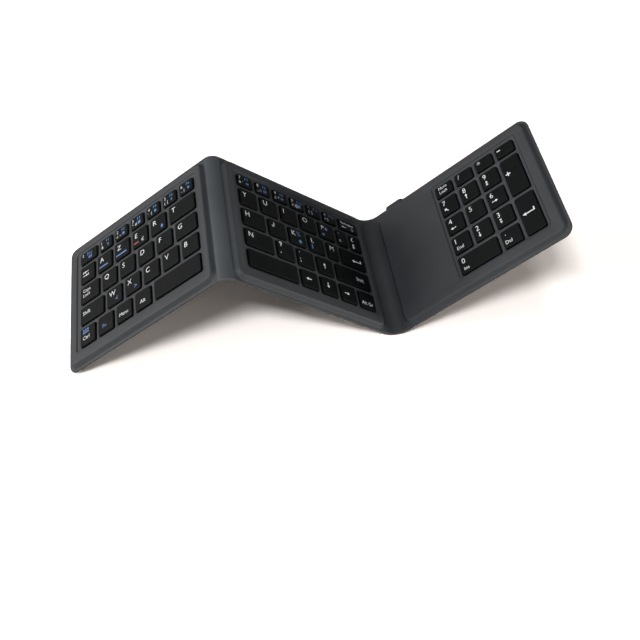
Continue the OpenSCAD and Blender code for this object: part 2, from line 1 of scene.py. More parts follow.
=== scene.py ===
"""Folding keyboard: skins, fold webs, keys and their prints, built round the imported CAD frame."""
import json
from math import acos, cos, degrees, pi, radians, sin
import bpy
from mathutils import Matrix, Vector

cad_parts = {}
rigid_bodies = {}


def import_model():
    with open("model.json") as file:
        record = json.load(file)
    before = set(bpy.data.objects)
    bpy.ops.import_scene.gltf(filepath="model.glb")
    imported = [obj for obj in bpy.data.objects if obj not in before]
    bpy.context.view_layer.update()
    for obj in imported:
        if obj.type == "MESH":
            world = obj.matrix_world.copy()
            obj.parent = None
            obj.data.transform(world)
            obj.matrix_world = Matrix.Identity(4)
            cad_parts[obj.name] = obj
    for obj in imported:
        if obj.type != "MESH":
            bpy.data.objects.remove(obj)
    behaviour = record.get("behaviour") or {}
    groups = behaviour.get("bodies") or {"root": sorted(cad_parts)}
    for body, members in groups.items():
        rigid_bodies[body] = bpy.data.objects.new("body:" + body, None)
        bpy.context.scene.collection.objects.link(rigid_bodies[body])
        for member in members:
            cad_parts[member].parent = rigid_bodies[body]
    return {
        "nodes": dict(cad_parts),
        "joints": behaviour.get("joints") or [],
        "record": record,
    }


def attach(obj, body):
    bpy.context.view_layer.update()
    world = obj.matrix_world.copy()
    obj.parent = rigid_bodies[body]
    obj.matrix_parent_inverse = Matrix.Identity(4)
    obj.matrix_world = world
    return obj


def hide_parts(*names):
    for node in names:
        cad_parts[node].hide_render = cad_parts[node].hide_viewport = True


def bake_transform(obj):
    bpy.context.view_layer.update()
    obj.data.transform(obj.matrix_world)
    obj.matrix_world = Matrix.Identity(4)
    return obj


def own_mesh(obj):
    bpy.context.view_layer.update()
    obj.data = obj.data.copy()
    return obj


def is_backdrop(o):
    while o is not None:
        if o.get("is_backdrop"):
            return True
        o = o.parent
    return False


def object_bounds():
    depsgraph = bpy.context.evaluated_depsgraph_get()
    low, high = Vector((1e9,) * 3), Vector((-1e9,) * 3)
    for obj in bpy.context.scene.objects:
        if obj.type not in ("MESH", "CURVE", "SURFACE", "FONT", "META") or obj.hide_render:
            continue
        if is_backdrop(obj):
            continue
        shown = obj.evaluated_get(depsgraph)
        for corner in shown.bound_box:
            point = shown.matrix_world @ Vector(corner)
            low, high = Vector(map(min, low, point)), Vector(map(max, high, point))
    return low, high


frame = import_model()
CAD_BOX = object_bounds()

from types import SimpleNamespace

import bpy
import numpy as np
from mathutils import Matrix

bl_info = {
    "name": "Folding keyboard",
    "version": (1, 0, 0),
    "blender": (4, 5, 0),
    "location": "View3D > Sidebar > Keyboard",
    "description": "Builds a folding keyboard of three soft-skinned panels round its CAD frame",
    "category": "Object",
}


# Settings

def length(name, mm, description):
    return bpy.props.FloatProperty(name=name, default=mm / 1000, description=description,
                                   unit="LENGTH", subtype="DISTANCE", precision=5)


def colour(name, rgb, description):
    return bpy.props.FloatVectorProperty(name=name, default=rgb, description=description,
                                         subtype="COLOR", size=3, min=0, max=1)


class KeyboardSizes(bpy.types.PropertyGroup):
    panel_len: length("Panel length", 119.6, "Length of a raised panel")
    depth: length("Depth", 95, "Front edge to rear edge")
    rim_w: length("Rim width", 3.4, "Width of the thin rim")
    rim_t: length("Rim thickness", 1.5, "Thickness of the rim and of the fold webs")
    rim_mid: length("Rim height", 3, "From the underside up to the middle of the rim")
    rim_corner: length("Rim corner", 7, "Corner radius of the rim in plan")
    panel_corner: length("Panel corner", 5, "Corner radius of a raised panel in plan")
    panel_h: length("Panel height", 6.6, "From the underside up to the raised top")
    tray_h: length("Tray height", 5.8, "From the underside up to the key tray")
    key_h: length("Key height", 7, "From the underside up to the key tops")
    sheet_z: length("Sheet underside", 4.8, "From the underside up to the skin between the keys")
    floor_t: length("Floor", 0.8, "Thickness of the lower skin's floor")
    wall: length("Wall", 1.2, "Side walls of the skins")
    slope: length("Slope", 2.9, "Width of the soft raised edge along the rim")
    slope_web: length("Slope at a web", 2.6, "Width of the soft raised edge towards a fold web")
    key_gap: length("Key gap", 0.2, "Clearance round a key in its opening")
    key_corner: length("Key corner", 1.4, "Corner radius of the key openings")
    key_edge: length("Key edge", 0.5, "Soft edge round the top of a key")
    web_left: length("Left web", 9, "Length of the left web, measured flat")
    web_right: length("Right web", 15.6, "Length of the right web, measured flat")


class KeyboardColours(bpy.types.PropertyGroup):
    skin: colour("Skin", (0.0265, 0.0290, 0.0325), "Soft-touch skin of the panels")
    web: colour("Web", (0.0265, 0.0295, 0.0330), "Smoother skin of the fold webs")
    key: colour("Key", (0.0028, 0.0036, 0.0037), "Black plastic of the keys")
    white: colour("White print", (0.60, 0.62, 0.63), "Main prints on the keys")
    blue: colour("Blue print", (0.070, 0.155, 0.34), "Second prints on the keys")
    red: colour("Red print", (0.27, 0.05, 0.05), "Single red print")
    floor: colour("Floor", (0.62, 0.60, 0.58), "Studio floor")


def sizes():
    """All sizes in millimetres, by name."""
    group = bpy.context.scene.keyboard_sizes
    return SimpleNamespace(**{k: getattr(group, k) * 1000
                              for k in KeyboardSizes.__annotations__})


def tint(name):
    return tuple(getattr(bpy.context.scene.keyboard_colours, name))


# Where the three panels stand

JOINTS = {j["name"]: j for j in frame["joints"]}
BODY_OF = {n: b for b, nodes in frame["record"]["behaviour"]["bodies"].items() for n in nodes}
ACROSS = np.array([0.0, 1.0, 0.0])
STUB_LEFT, STUB_RIGHT = 1.3, 2.7


class Place:
    """One panel's own frame: X from its left end, Y from mid depth, Z from its underside, in mm."""

    def __init__(self, origin, along, mid):
        self.origin, self.along, self.mid = origin, along / np.linalg.norm(along), mid
        self.up = np.array([-self.along[2], 0.0, self.along[0]])

    def world(self, p):
        p = np.asarray(p, float) / 1000
        return (self.origin + p[..., 0:1] * self.along + p[..., 1:2] * ACROSS
                + (p[..., 2:3] - self.mid / 1000) * self.up)


PANEL_KEY = {"left": "press_tab", "middle": "press_enter", "right": "press_plus"}


def normal(panel):
    """The way up from a panel, along which its keys travel."""
    return np.array(JOINTS[PANEL_KEY[panel]]["axis"])


def places(s):
    """Each panel's frame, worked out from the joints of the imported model."""
    hinge = {n: np.array(JOINTS[n]["pos_m"]) for n in
             ("fold_left", "fold_right", "fold_left_outer", "fold_right_outer")}
    along = {p: np.array([normal(p)[2], 0.0, -normal(p)[0]]) for p in ("left", "right")}
    along["middle"] = hinge["fold_right"] - hinge["fold_left"]
    along["middle"] /= np.linalg.norm(along["middle"])
    start = {"middle": hinge["fold_left"] + along["middle"] * STUB_LEFT / 1000,
             "left": hinge["fold_left_outer"] - along["left"] * (STUB_LEFT + s.panel_len) / 1000,
             "right": hinge["fold_right_outer"] + along["right"] * STUB_RIGHT / 1000}
    return {p: Place(start[p], along[p], s.rim_mid) for p in start}


# Surfaces

def ring(box, radii, steps=8):
    """Rounded rectangle, counter-clockwise from above: four quarter circles, one at each corner,
    joined by straight sides. Radii go front right, rear right, rear left, front left."""
    x0, x1, y0, y1 = box
    r = np.maximum(np.array(radii, float), 0.02)
    cx = np.array([x1, x1, x0, x0]) - r * np.array([1, 1, -1, -1])
    cy = np.array([y0, y1, y1, y0]) - r * np.array([-1, 1, 1, -1])
    a = np.radians(np.array([[-90], [0], [90], [180]]) + np.linspace(0, 90, steps + 1)[None])
    return np.stack([cx[:, None] + r[:, None] * np.cos(a),
                     cy[:, None] + r[:, None] * np.sin(a)], -1).reshape(-1, 2)


def at_height(flat, z):
    return np.concatenate([flat, np.full((len(flat), 1), float(z))], 1)


def loft(rings):
    """Closed skin through a stack of rings with equally many points: point (i, j) is point j of
    ring i, each cell of that grid is one face, and the first and last rings are closed flat."""
    grid = np.stack(rings)
    k, n = grid.shape[:2]
    i = np.arange(k * n).reshape(k, n)
    a, d = i[:-1], i[1:]
    quads = np.stack([a, np.roll(a, -1, 1), np.roll(d, -1, 1), d], -1).reshape(-1, 4)
    faces = quads.tolist() + [i[0, ::-1].tolist(), i[-1].tolist()]
    points = grid.reshape(-1, 3)
    c = points[quads]
    volume = np.einsum("ij,ij->i", c[:, 0], np.cross(c[:, 1], c[:, 2])) \
        + np.einsum("ij,ij->i", c[:, 0], np.cross(c[:, 2], c[:, 3]))
    for f in faces[-2:]:
        p = points[f]
        volume = np.append(volume, np.einsum("ij,ij->i", np.repeat(p[:1], len(p) - 2, 0),
                                             np.cross(p[1:-1], p[2:])).sum())
    if volume.sum() < 0:
        faces = [f[::-1] for f in faces]
    return points, faces


def joined(parts):
    """Several meshes as one list of points and one of faces."""
    points, faces, at = [], [], 0
    for p, f in parts:
        points.append(p)
        faces += [[v + at for v in face] for face in f]
        at += len(p)
    return np.concatenate(points), faces


def new_piece(name, points, faces):
    mesh = bpy.data.meshes.new(name)
    mesh.from_pydata(np.asarray(points).tolist(), [], faces)
    mesh.validate()
    mesh.update()
    piece = bpy.data.objects.new(name, mesh)
    bpy.context.scene.collection.objects.link(piece)
    return piece


def combine(piece, tool, operation):
    """Cuts the tool's solid from the piece, or adds it, and keeps the result as the mesh."""
    change = piece.modifiers.new("combine", "BOOLEAN")
    change.object, change.operation, change.solver = tool, operation, "EXACT"
    graph = bpy.context.evaluated_depsgraph_get()
    mesh = bpy.data.meshes.new_from_object(piece.evaluated_get(graph))
    piece.modifiers.clear()
    old, piece.data = piece.data, mesh
    bpy.data.meshes.remove(old)
    spent = tool.data
    bpy.data.objects.remove(tool)
    bpy.data.meshes.remove(spent)
    if not len(mesh.polygons):
        raise RuntimeError(f"{piece.name} came out empty")


def move_points(piece, change):
    """Gives the whole array of a piece's points to a function and stores what it returns."""
    mesh = piece.data
    p = np.empty(len(mesh.vertices) * 3, np.float32)
    mesh.vertices.foreach_get("co", p)
    mesh.vertices.foreach_set("co", np.asarray(change(p.reshape(-1, 3)), np.float32).ravel())
    mesh.update()


# Upward share of a face's normal: a face is level above the first and a key's wall below the second
LEVEL, STEEP = 0.99995, 0.6


def face_normals(piece):
    n = np.empty(len(piece.data.polygons) * 3, np.float32)
    piece.data.polygons.foreach_get("normal", n)
    return n.reshape(-1, 3)


def smoothed(piece, angle=32, flat_up=True):
    """Smooth shading, with edges sharper than the angle kept crisp and level faces left flat."""
    mesh = piece.data
    smooth = np.ones(len(mesh.polygons), bool)
    if flat_up:
        smooth = np.abs(face_normals(piece)[:, 2]) < LEVEL
    mesh.polygons.foreach_set("use_smooth", smooth)
    mesh.set_sharp_from_angle(angle=radians(angle))


def dressed(piece, material, slot):
    piece.data.materials.clear()
    piece.data.materials.append(material)


# Key layout, as in the CAD part

PITCH, ROW, WEB, KEY_D, TOP_D = 16.0, 15.6, 2.1, 13.5, 9.6
FIELD_X, FIELD_W, PAD_X, FIELD_Y, HALF_DEPTH = 9.7, 102.0, 48.8, 11.4, 47.5
DOME_R, MEMBRANE_TOP, DOME_H, CAP_TOP, SKIRT, CAP_WALL = 2.4, 1.7, 2.9, 1.1, 0.9, 0.8
TRAY_FRONT, TRAY_REAR, TRAY_RIGHT, TRAY_CORNER = 1.0, 2.3, 2.0, 2.5
LIP_OUT, LIP_W = 0.6, 1.1
TRAY_LEFT = {"left": 3.6, "middle": 2.4, "right": 2.0}
PORT_X, PORT_W, PORT_H, BULGE_L, BULGE_SLOPE, BULGE_END_R = 16.2, 7.6, 2.9, 12.0, 2.0, 0.6


def row_keys(row, xs, end=FIELD_W, x0=FIELD_X):
    """Openings of one row: [left, right, front, rear] in the panel's frame, in mm."""
    xs = np.array(xs, float)
    rights = np.append(xs[1:] - WEB, end)
    front = FIELD_Y - HALF_DEPTH + (5 - row) * ROW
    return [(x0 + a, x0 + b, front, front + (TOP_D if row == 1 else KEY_D))
            for a, b in zip(xs, rights)]


def run(start, pitch, count):
    return (start + pitch * np.arange(count)).tolist()


def tall(key):
    return key[:3] + (key[3] + ROW,)


# Row, left edges of its keys, and how many of them each node holds, on the left panel and then
# on the middle one
ROWS = (
    (1, [0] + run(18.4, 14.3, 6), {"key_esc": 1, "keys_digits_left": 6}),
    (2, run(0, PITCH, 6), {"key_tab": 1, "keys_upper_left": 5}),
    (3, [0] + run(20, PITCH, 5), {"key_caps": 1, "keys_home_left": 5}),
    (4, [0] + run(24, PITCH, 5), {"key_shift_left": 1, "keys_lower_left": 5}),
    (5, run(0, PITCH, 5), {"key_ctrl": 1, "key_fn": 1, "key_menu": 1, "key_alt": 1,
                           "key_space_left": 1}),
    (1, run(0, 14.1, 7), {"keys_digits_middle": 6, "key_backspace": 1}),
    (2, run(0, PITCH, 6) + [92], {"keys_upper_middle": 7}),
    (3, [0] + run(20, PITCH, 4) + [80], {"keys_home_middle": 5, "key_enter": 1}),
    (4, [0] + run(24, PITCH, 4), {"keys_lower_middle": 3, "key_up": 1, "key_shift_right": 1}),
    (5, [0] + run(40, PITCH, 4), {"key_space_right": 1, "key_left": 1, "key_down": 1,
                                  "key_right": 1, "key_alt_gr": 1}),
)


def key_table():
    """Openings of every key, under the name of the CAD node that holds its cap."""
    table = {}
    for row, xs, counts in ROWS:
        keys = row_keys(row, xs)
        for node, count in counts.items():
            table[node], keys = keys[:count], keys[count:]
    p1, p2, p3, p4, p5 = (row_keys(row, run(0, PITCH, 4), 4 * PITCH - WEB, PAD_X)
                          for row in range(1, 6))
    zero = p5[0][:1] + p5[1][1:2] + p5[0][2:]
    table.update(key_num_lock=p1[:1], keys_pad_operators=p1[1:], keys_pad_upper=p2[:3],
                 keys_pad_centre=p3[:3], keys_pad_lower=p4[:3], key_plus=[tall(p3[3])],
                 key_pad_enter=[tall(p5[3])], key_zero=[zero], key_decimal=p5[2:3])
    return table


KEYS = key_table()
JOINT_OF = {n: next(j for j in frame["joints"] if j["child"] == BODY_OF[n]) for n in KEYS}
PANEL_OF = {n: JOINT_OF[n]["parent"].removesuffix("_panel") for n in KEYS}


def keys_on(panel):
    return [k for n, keys in KEYS.items() if PANEL_OF[n] == panel for k in keys]


# Skins

def panel_ring(s, free, u, v, z, rim):
    """Outline of a panel drawn in by u on its free sides and by v on its web sides. Corners are
    round with the rim's or the raised panel's radius, and the rim's corners at a web are square."""
    left_free, right_free = free
    y = s.depth / 2 - u
    x0 = u - s.rim_w if left_free else v
    x1 = s.panel_len + s.rim_w - u if right_free else s.panel_len - v
    round_r = s.rim_corner - u if rim else s.panel_corner - (u - s.rim_w)
    web_r = 0 if rim else round_r
    right_r, left_r = (round_r if right_free else web_r), (round_r if left_free else web_r)
    return at_height(ring((x0, x1, -y, y), (right_r, right_r, left_r, left_r)), z)


def quarter(steps):
    return np.radians(np.linspace(0, 90, steps + 1))


def s_curve(t):
    return t * t * (3 - 2 * t)


def top_skin(s, panel, free, x0):
    """Upper shell as one closed loft: up inside the wall, out along the parting line, round the
    rim's edge (a quarter circle), along the rim, up the raised edge, over the flat top and down
    an S-shaped lip onto the tray. The raised edge and the lip are cubic S-curves, 3 t^2 - 2 t^3
    of their height, and the raised edge is wider towards a web."""
    put = lambda u, v, z, rim=False: panel_ring(s, free, u, v, z, rim)
    half, mid = s.rim_t / 2, s.rim_mid
    rim_top, w = mid + half, s.rim_w
    inner = w + s.wall
    rings = [put(inner, s.wall, s.sheet_z), put(inner, s.wall, mid)]
    rings += [put(half * (1 - cos(a)), 0, mid + half * sin(a), True) for a in quarter(5)]
    rings += [put(half + 0.15, 0, rim_top, True), put(w + 0.6 - s.slope, 0.01, rim_top)]
    for t in np.linspace(0, 1, 13):
        rings.append(put(w + 0.7 + s.slope * (t - 1), 0.02 + s.slope_web * t,
                         rim_top + s_curve(t) * (s.panel_h - rim_top)))
    rings.append(put(w + 1, 0.3 + s.slope_web, s.panel_h))
    keys = keys_on(panel)
    right = max(k[1] for k in keys) + TRAY_RIGHT
    front, rear = min(k[2] for k in keys) - TRAY_FRONT, max(k[3] for k in keys) + TRAY_REAR
    left = x0 - TRAY_LEFT[panel]
    for t in np.linspace(0, 1, 9):
        out = LIP_OUT - LIP_W * t
        drop = s_curve(t) * (s.panel_h - s.tray_h)
        rings.append(at_height(ring((left - out, right + out, front - out, rear + out),
                                    [TRAY_CORNER + out] * 4), s.panel_h - drop))
    return loft(rings)


def bottom_skin(s, free):
    """Lower shell as one closed loft: out along the underside, round its edge (a quarter ellipse),
    up the drawn-in side, out under the rim, round the rim's edge, in along the parting line and
    down inside the wall to the floor."""
    put = lambda u, v, z, rim=False: panel_ring(s, free, u, v, z, rim)
    half, mid, w = s.rim_t / 2, s.rim_mid, s.rim_w
    rim_low = mid - half
    rings = [put(w + 1.9, 1.9, 0), put(w + 1.6, 1.6, 0)]
    rings += [put(w + 1.6 - 0.9 * sin(a), 1.6 - 0.9 * sin(a), 0.7 * (1 - cos(a)))
              for a in quarter(6)[1:]]
    rings += [put(w + 0.35, 0.35, rim_low - 0.5)]
    rings += [put(w - 0.1 + 0.4 * (1 - sin(a)), 0.02 + 0.33 * (1 - sin(a)),
                  rim_low - 0.4 * cos(a)) for a in quarter(4)[1:]]
    rings += [put(half + 0.25, 0, rim_low, True)]
    rings += [put(half * (1 - sin(a)), 0, mid - half * cos(a), True) for a in quarter(5)]
    inner = w + s.wall
    rings += [put(inner, s.wall, mid), put(inner, s.wall, s.floor_t)]
    return loft(rings)


def key_holes(s, keys):
    """Cutting solids for the key openings: upright, then flared a little at the tray's surface."""
    parts = []
    for x0, x1, y0, y1 in keys:
        rings = [at_height(ring((x0 - o, x1 + o, y0 - o, y1 + o), [s.key_corner + o] * 4, 5), z)
                 for o, z in ((0, s.sheet_z - 1), (0, s.tray_h - 0.2),
                              (0.06, s.tray_h - 0.06), (0.2, s.tray_h + 0.02),
                              (0.2, s.tray_h + 1))]
        parts.append(loft(rings))
    return joined(parts)


def upright_loft(profile, ys):
    """Carries a profile of X and Z along Y: ring i is the profile at the i-th depth."""
    return loft([np.stack([profile[:, 0], np.full(len(profile), float(y)), profile[:, 1]], 1)
                 for y in ys])


def bulge(s, z, front):
    """Half of the low bulge round the port, carried along Y: a trapezium whose upper corners are
    quadratic curves. Its rear end shrinks towards the rim's middle on a quarter circle."""
    half, h, rear = BULGE_L / 2, z - s.rim_mid, s.depth / 2
    t = np.linspace(0, 1, 8)[:, None]
    a, b, c = np.array([[half + 0.45 * BULGE_SLOPE, 0.55 * h], [half, h], [half - 1.2, h]])
    curve = (1 - t) ** 2 * a + 2 * t * (1 - t) * b + t * t * c
    side = np.concatenate([[[half + BULGE_SLOPE, 0]], curve])
    profile = np.concatenate([side, side[::-1] * [-1, 1]])
    stack = [(profile, front)]
    for turn in quarter(5):
        less = BULGE_END_R * (1 - cos(turn))
        stack.append((profile * [1 - less / half, 1 - less / abs(h)],
                      rear - BULGE_END_R + BULGE_END_R * sin(turn)))
    return loft([np.stack([PORT_X + p[:, 0], np.full(len(p), y), s.rim_mid + p[:, 1]], 1)
                 for p, y in stack])


def port_cut(s):
    """Cutting solid for the port's mouth: a rounded rectangle carried along Y."""
    gap = s.key_gap
    z0 = s.floor_t + 0.8 - gap
    flat = ring((PORT_X - PORT_W / 2 - gap, PORT_X + PORT_W / 2 + gap, z0, z0 + PORT_H + 2 * gap),
                [0.5] * 4, 4)
    return upright_loft(flat, (s.depth / 2 - s.rim_w - 4, s.depth / 2 + 1))


# Strength of the painted shade at the raised edge's foot, and the margins along the rim and the
# webs that the painted shade in the tray's lip keeps clear of
FOOT_SHADE_SHARE, RIM_EDGE_W, WEB_EDGE_W = 0.15, 3, 2.9


def mark_hollows(s, top):
    """Point attribute of painted shade: 1 in the lip round the key tray and 0.15 at the foot of the
    raised edge along the rim, where the skin's colour is darkened to stand in for the shade that
    falls there: a parabola over the height of the lip, and a ramp up and down just above the rim."""
    p = np.empty(len(top.data.vertices) * 3, np.float32)
    top.data.vertices.foreach_get("co", p)
    x, y, z = p.reshape(-1, 3).T
    low, high, rim = s.tray_h, s.panel_h, s.rim_mid + s.rim_t / 2
    inside = (np.abs(y) < s.depth / 2 - s.rim_w - RIM_EDGE_W) \
        & (x > WEB_EDGE_W) & (x < s.panel_len - WEB_EDGE_W)
    lip = np.where(inside, np.clip(4 * (z - low) * (high - z) / (high - low) ** 2, 0, 1), 0)
    along_rim = (np.abs(y) > s.depth / 2 - s.rim_w) | (x < 0) | (x > s.panel_len)
    foot = np.clip((z - rim) / 0.12, 0, 1) * np.clip((rim + 0.8 - z) / 0.6, 0, 1)
    foot = np.where(along_rim, foot * FOOT_SHADE_SHARE, 0)
    hollow = top.data.attributes.new("hollow", "FLOAT", "POINT")
    hollow.data.foreach_set("value", np.maximum(lip, foot).astype(np.float32))


def build_skins(s, where, finish):
    for panel, free, x0 in (("left", (True, False), FIELD_X), ("middle", (False, False), FIELD_X),
                            ("right", (False, True), PAD_X)):
        top = new_piece(f"{panel}_top_moulding", *top_skin(s, panel, free, x0))
        bottom = new_piece(f"{panel}_bottom_moulding", *bottom_skin(s, free))
        combine(top, new_piece("holes", *key_holes(s, keys_on(panel))), "DIFFERENCE")
        if panel == "right":
            edge = s.depth / 2 - s.rim_w
            for half, z, front in ((top, s.panel_h - 0.5, edge - 2.8),
                                   (bottom, s.floor_t + 0.2, edge - s.wall)):
                combine(half, new_piece("bulge", *bulge(s, z, front)), "UNION")
                combine(half, new_piece("mouth", *port_cut(s)), "DIFFERENCE")
        # Painted shade: marks the tray's lip and the raised edge's foot for a darker skin colour
        mark_hollows(s, top)
        for half, node in ((top, f"{panel}_top_skin"), (bottom, f"{panel}_bottom_skin")):
            smoothed(half)
            move_points(half, where[panel].world)
            dressed(half, finish, "soft_skin")
            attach(half, f"{panel}_panel")
            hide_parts(node)


# Fold webs and the flat cables inside them

def bend_radius(s, side):
    """Radius of the arc between two panels, from the two creases and the angle between panels."""
    length_flat = s.web_left if side == "left" else s.web_right
    stub = STUB_LEFT if side == "left" else STUB_RIGHT
    half = radians(fold_angle(side) / 2)
    return (length_flat - 2 * stub + 2 * stub * cos(half)) / 2 / sin(half)


def fold_angle(side):
    return degrees(acos(float(np.clip(normal(side) @ normal("middle"), -1, 1))))


def bend_point(s, side, angle, out, y):
    """Point at an angle along a web's arc, lifted towards the upper side by out, in the middle
    panel's frame: the left web's centre lies below that panel's left end, the right web's above
    its right end."""
    r, mid = bend_radius(s, side), s.rim_mid
    a = np.radians(angle)
    if side == "left":
        x, z = -(r + out) * np.sin(a), mid - r + (r + out) * np.cos(a)
    else:
        x, z = s.panel_len + (r - out) * np.sin(a), mid + r - (r - out) * np.cos(a)
    return np.stack(np.broadcast_arrays(x, y, z), -1)


def web_outline(s):
    """Cross-section of a web: a flat band with half-round front and rear edges, as (out, y)."""
    r, y = s.rim_t / 2, s.depth / 2 - s.rim_t / 2
    a = np.radians(np.linspace(0, 180, 17))
    rear = np.stack([r * np.cos(a), y + r * np.sin(a)], 1)
    front = np.stack([-r * np.cos(a), -y - r * np.sin(a)], 1)
    return np.concatenate([rear, front])


def build_webs(s, where, finishes, cable_finish):
    middle = where["middle"]
    outline = web_outline(s)
    for side in ("left", "right"):
        whole = fold_angle(side)
        web, panel = f"{side}_web", f"{side}_panel"
        for name, span, bodies in (("inner", (0, whole / 2), ("middle_panel", web)),
                                   ("outer", (whole / 2, whole), (web, panel))):
            angles = np.linspace(span[0], span[1], 15)
            band = loft([middle.world(bend_point(s, side, a, outline[:, 0], outline[:, 1]))
                         for a in angles])
            ends = [middle.world(bend_point(s, side, a, 0.0, 0.0)).ravel() for a in span]
            piece = new_piece(f"web_{side}_{name}", *band)
            smoothed(piece, 40, False)
            dressed(piece, finishes[side], "web_skin")
            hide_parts(f"fold_web_{side}")
            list(bodies)
            tuple(ends[0])
            tuple(ends[1])
            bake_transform(piece)
            piece = new_piece(f"cable_{side}_{name}", *cable_half(s, where, side, name))
            smoothed(piece, 30, False)
            dressed(piece, cable_finish, "flex_film")
            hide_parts(f"flex_cable_{side}")
            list(bodies)
            tuple(ends[0])
            tuple(ends[1])
            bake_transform(piece)


CABLE_FRONT, CABLE_REAR, CABLE_T = 20, 36, 0.3


def cable_half(s, where, side, name):
    """Half of a flat cable: a thin rectangle carried along its route, down onto the membrane or
    the board inside a panel, level through the wall, then along the web's arc to its middle."""
    land = (MEMBRANE_TOP if side == "left" or name == "inner" else s.floor_t + 0.8) \
        + CABLE_T / 2
    mid, whole = s.rim_mid, fold_angle(side)
    if name == "inner":
        panel, mirror = "middle", side == "right"
    else:
        panel, mirror = side, side == "left"
    route = np.array([[8, land], [5, land], [4.9, land + 0.02], [3, mid], [2.9, mid], [0, mid]])
    if mirror:
        route[:, 0] = s.panel_len - route[:, 0]
    inside = where[panel].world(np.stack([route[:, 0], np.zeros(6), route[:, 1]], 1))
    span = np.linspace(0 if name == "inner" else whole, whole / 2, 8)[1:]
    arc = np.concatenate([where["middle"].world(bend_point(s, side, a, 0.0, 0.0)).reshape(1, 3)
                          for a in span])
    line = np.concatenate([inside, arc])
    step = np.gradient(line, axis=0)
    step /= np.linalg.norm(step, axis=1)[:, None]
    lift = np.cross(step, ACROSS)
    y0, y1, t = CABLE_FRONT / 1000, CABLE_REAR / 1000, CABLE_T / 2000
    corners = [(y0, -t), (y1, -t), (y1, t), (y0, t)]
    return loft([np.stack([p + ACROSS * y + up * h for y, h in corners])
                 for p, up in zip(line, lift)])


# Key caps

# Gap between a cap and its domes and links, so that no two faces lie in one plane
HAIR = 0.01
TWO_DOMES_OVER = 26
BAR_UP, BAR_L, BAR_W = 2.65, 3.0, 0.5


def dome_spots(key):
    x0, x1, y0, y1 = key
    w, y = x1 - x0, (y0 + y1) / 2
    return [(x0 + w * f, y) for f in ((0.25, 0.75) if w > TWO_DOMES_OVER else (0.5,))]


def cap(s, key):
    """Hollow cap as a closed loft: inside roof, down the inner wall, across the skirt's lower
    edge, up the drafted outer wall, a quarter circle edge, and the flat top. A small boss under
    the roof rests on each dome, a hair's breadth above it."""
    x0, x1, y0, y1 = key
    gap, top, edge = s.key_gap, s.key_h, s.key_edge
    under, low = top - CAP_TOP + HAIR, top - CAP_TOP - SKIRT

    def level(inset, z, r):
        return at_height(ring((x0 + inset, x1 - inset, y0 + inset, y1 - inset), [r] * 4, 5), z)

    r = s.key_corner - gap
    rings = [level(gap + CAP_WALL, under, 0.4), level(gap + CAP_WALL, low, 0.4), level(gap, low, r),
             level(gap + 0.05, top - edge - 0.9, r)]
    rings += [level(gap + 0.2 + edge * (1 - cos(a)), top - edge + edge * sin(a),
                    r - 0.5 * edge * (1 - cos(a))) for a in quarter(5)]
    rings.append(level(gap + 0.35 + edge, top, r - 0.4))
    parts = [loft(rings)]
    turn = np.radians(np.arange(0, 360, 22.5))
    for x, y in dome_spots(key):
        boss = np.stack([x + DOME_R / 2 * np.cos(turn), y + DOME_R / 2 * np.sin(turn)], 1)
        parts.append(loft([at_height(boss, MEMBRANE_TOP + DOME_H + HAIR),
                           at_height(boss, under + 0.1)]))
    return parts


def finger_bar(s, key):
    """Raised bar on a home key: a stadium whose upper edge is drawn in on a quarter circle."""
    x = (key[0] + key[1]) / 2
    y = key[2] + BAR_UP
    return loft([at_height(ring((x - BAR_L / 2 + i, x + BAR_L / 2 - i,
                                 y - BAR_W / 2 + i, y + BAR_W / 2 - i),
                                [0.24 - i] * 4, 4), s.key_h + z)
                 for i, z in ((0, -0.1), (0, 0.1), (0.05, 0.17), (0.14, 0.2))])


HOME_KEYS = {"keys_home_left": 3, "keys_home_middle": 1, "keys_pad_centre": 1}


def build_caps(s, where, finish, shaded_wall_finish):
    for node, keys in KEYS.items():
        parts = [p for k in keys for p in cap(s, k)]
        if node in HOME_KEYS:
            parts.append(finger_bar(s, keys[HOME_KEYS[node]]))
        piece = new_piece(f"{node}_moulding", *joined(parts))
        smoothed(piece)
        # Steep faces take the second material, whose darker colour is painted shade on the keys'
        # sides
        walls = np.abs(face_normals(piece)[:, 2]) < STEEP
        move_points(piece, where[PANEL_OF[node]].world)
        dressed(piece, finish, "key_plastic")
        piece.data.materials.append(shaded_wall_finish)
        piece.data.polygons.foreach_set("material_index", walls.astype(np.int32))
        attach(piece, BODY_OF[node])
        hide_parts(node)


# Scissor links and domes

def build_mechanism(s, where, made):
    """Each dome and scissor pair is copied out of its CAD node by the key it lies under, into a
    piece of its own on the panel."""
    for panel in ("left", "middle", "right"):
        names = [n for n in KEYS if PANEL_OF[n] == panel]
        boxes = np.array([k for n in names for k in KEYS[n]])
        owner = np.array([i for i, n in enumerate(names) for _ in KEYS[n]])
        at = where[panel]
        for kind, slot, keep in (("domes", "dome_rubber", 0.586),
                                 ("scissors", "link_plastic", 0.714)):
            node = f"{panel}_{kind}"
            source = frame["nodes"][node]
            points = np.array([source.matrix_world @ v.co for v in source.data.vertices])
            faces = [list(f.vertices) for f in source.data.polygons]
            middle = (np.array([points[f].mean(0) for f in faces]) - at.origin) * 1000
            flat = np.stack([middle @ at.along, middle[:, 1]], 1)
            off = np.maximum(boxes[None, :, ::2] - flat[:, None],
                             flat[:, None] - boxes[None, :, 1::2])
            under = owner[np.maximum(off, 0).sum(2).argmin(1)]
            for i, name in enumerate(names):
                chosen = [f for f, u in zip(faces, under) if u == i]
                used, index = np.unique(np.concatenate(chosen), return_inverse=True)
                ends = np.cumsum([len(f) for f in chosen])[:-1]
                piece = new_piece(f"{name}_{kind}", points[used],
                                  [f.tolist() for f in np.split(index, ends)])
                smoothed(piece, 30, False)
                dressed(piece, made[slot], slot)
                joint = JOINT_OF[name]
                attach(piece, f"{panel}_panel")
                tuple(joint["axis"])
                at.world([KEYS[name][0][0], 0, MEMBRANE_TOP]).tolist()
                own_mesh(piece)
                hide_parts(node)


# Prints on the keys

INK = 0.02
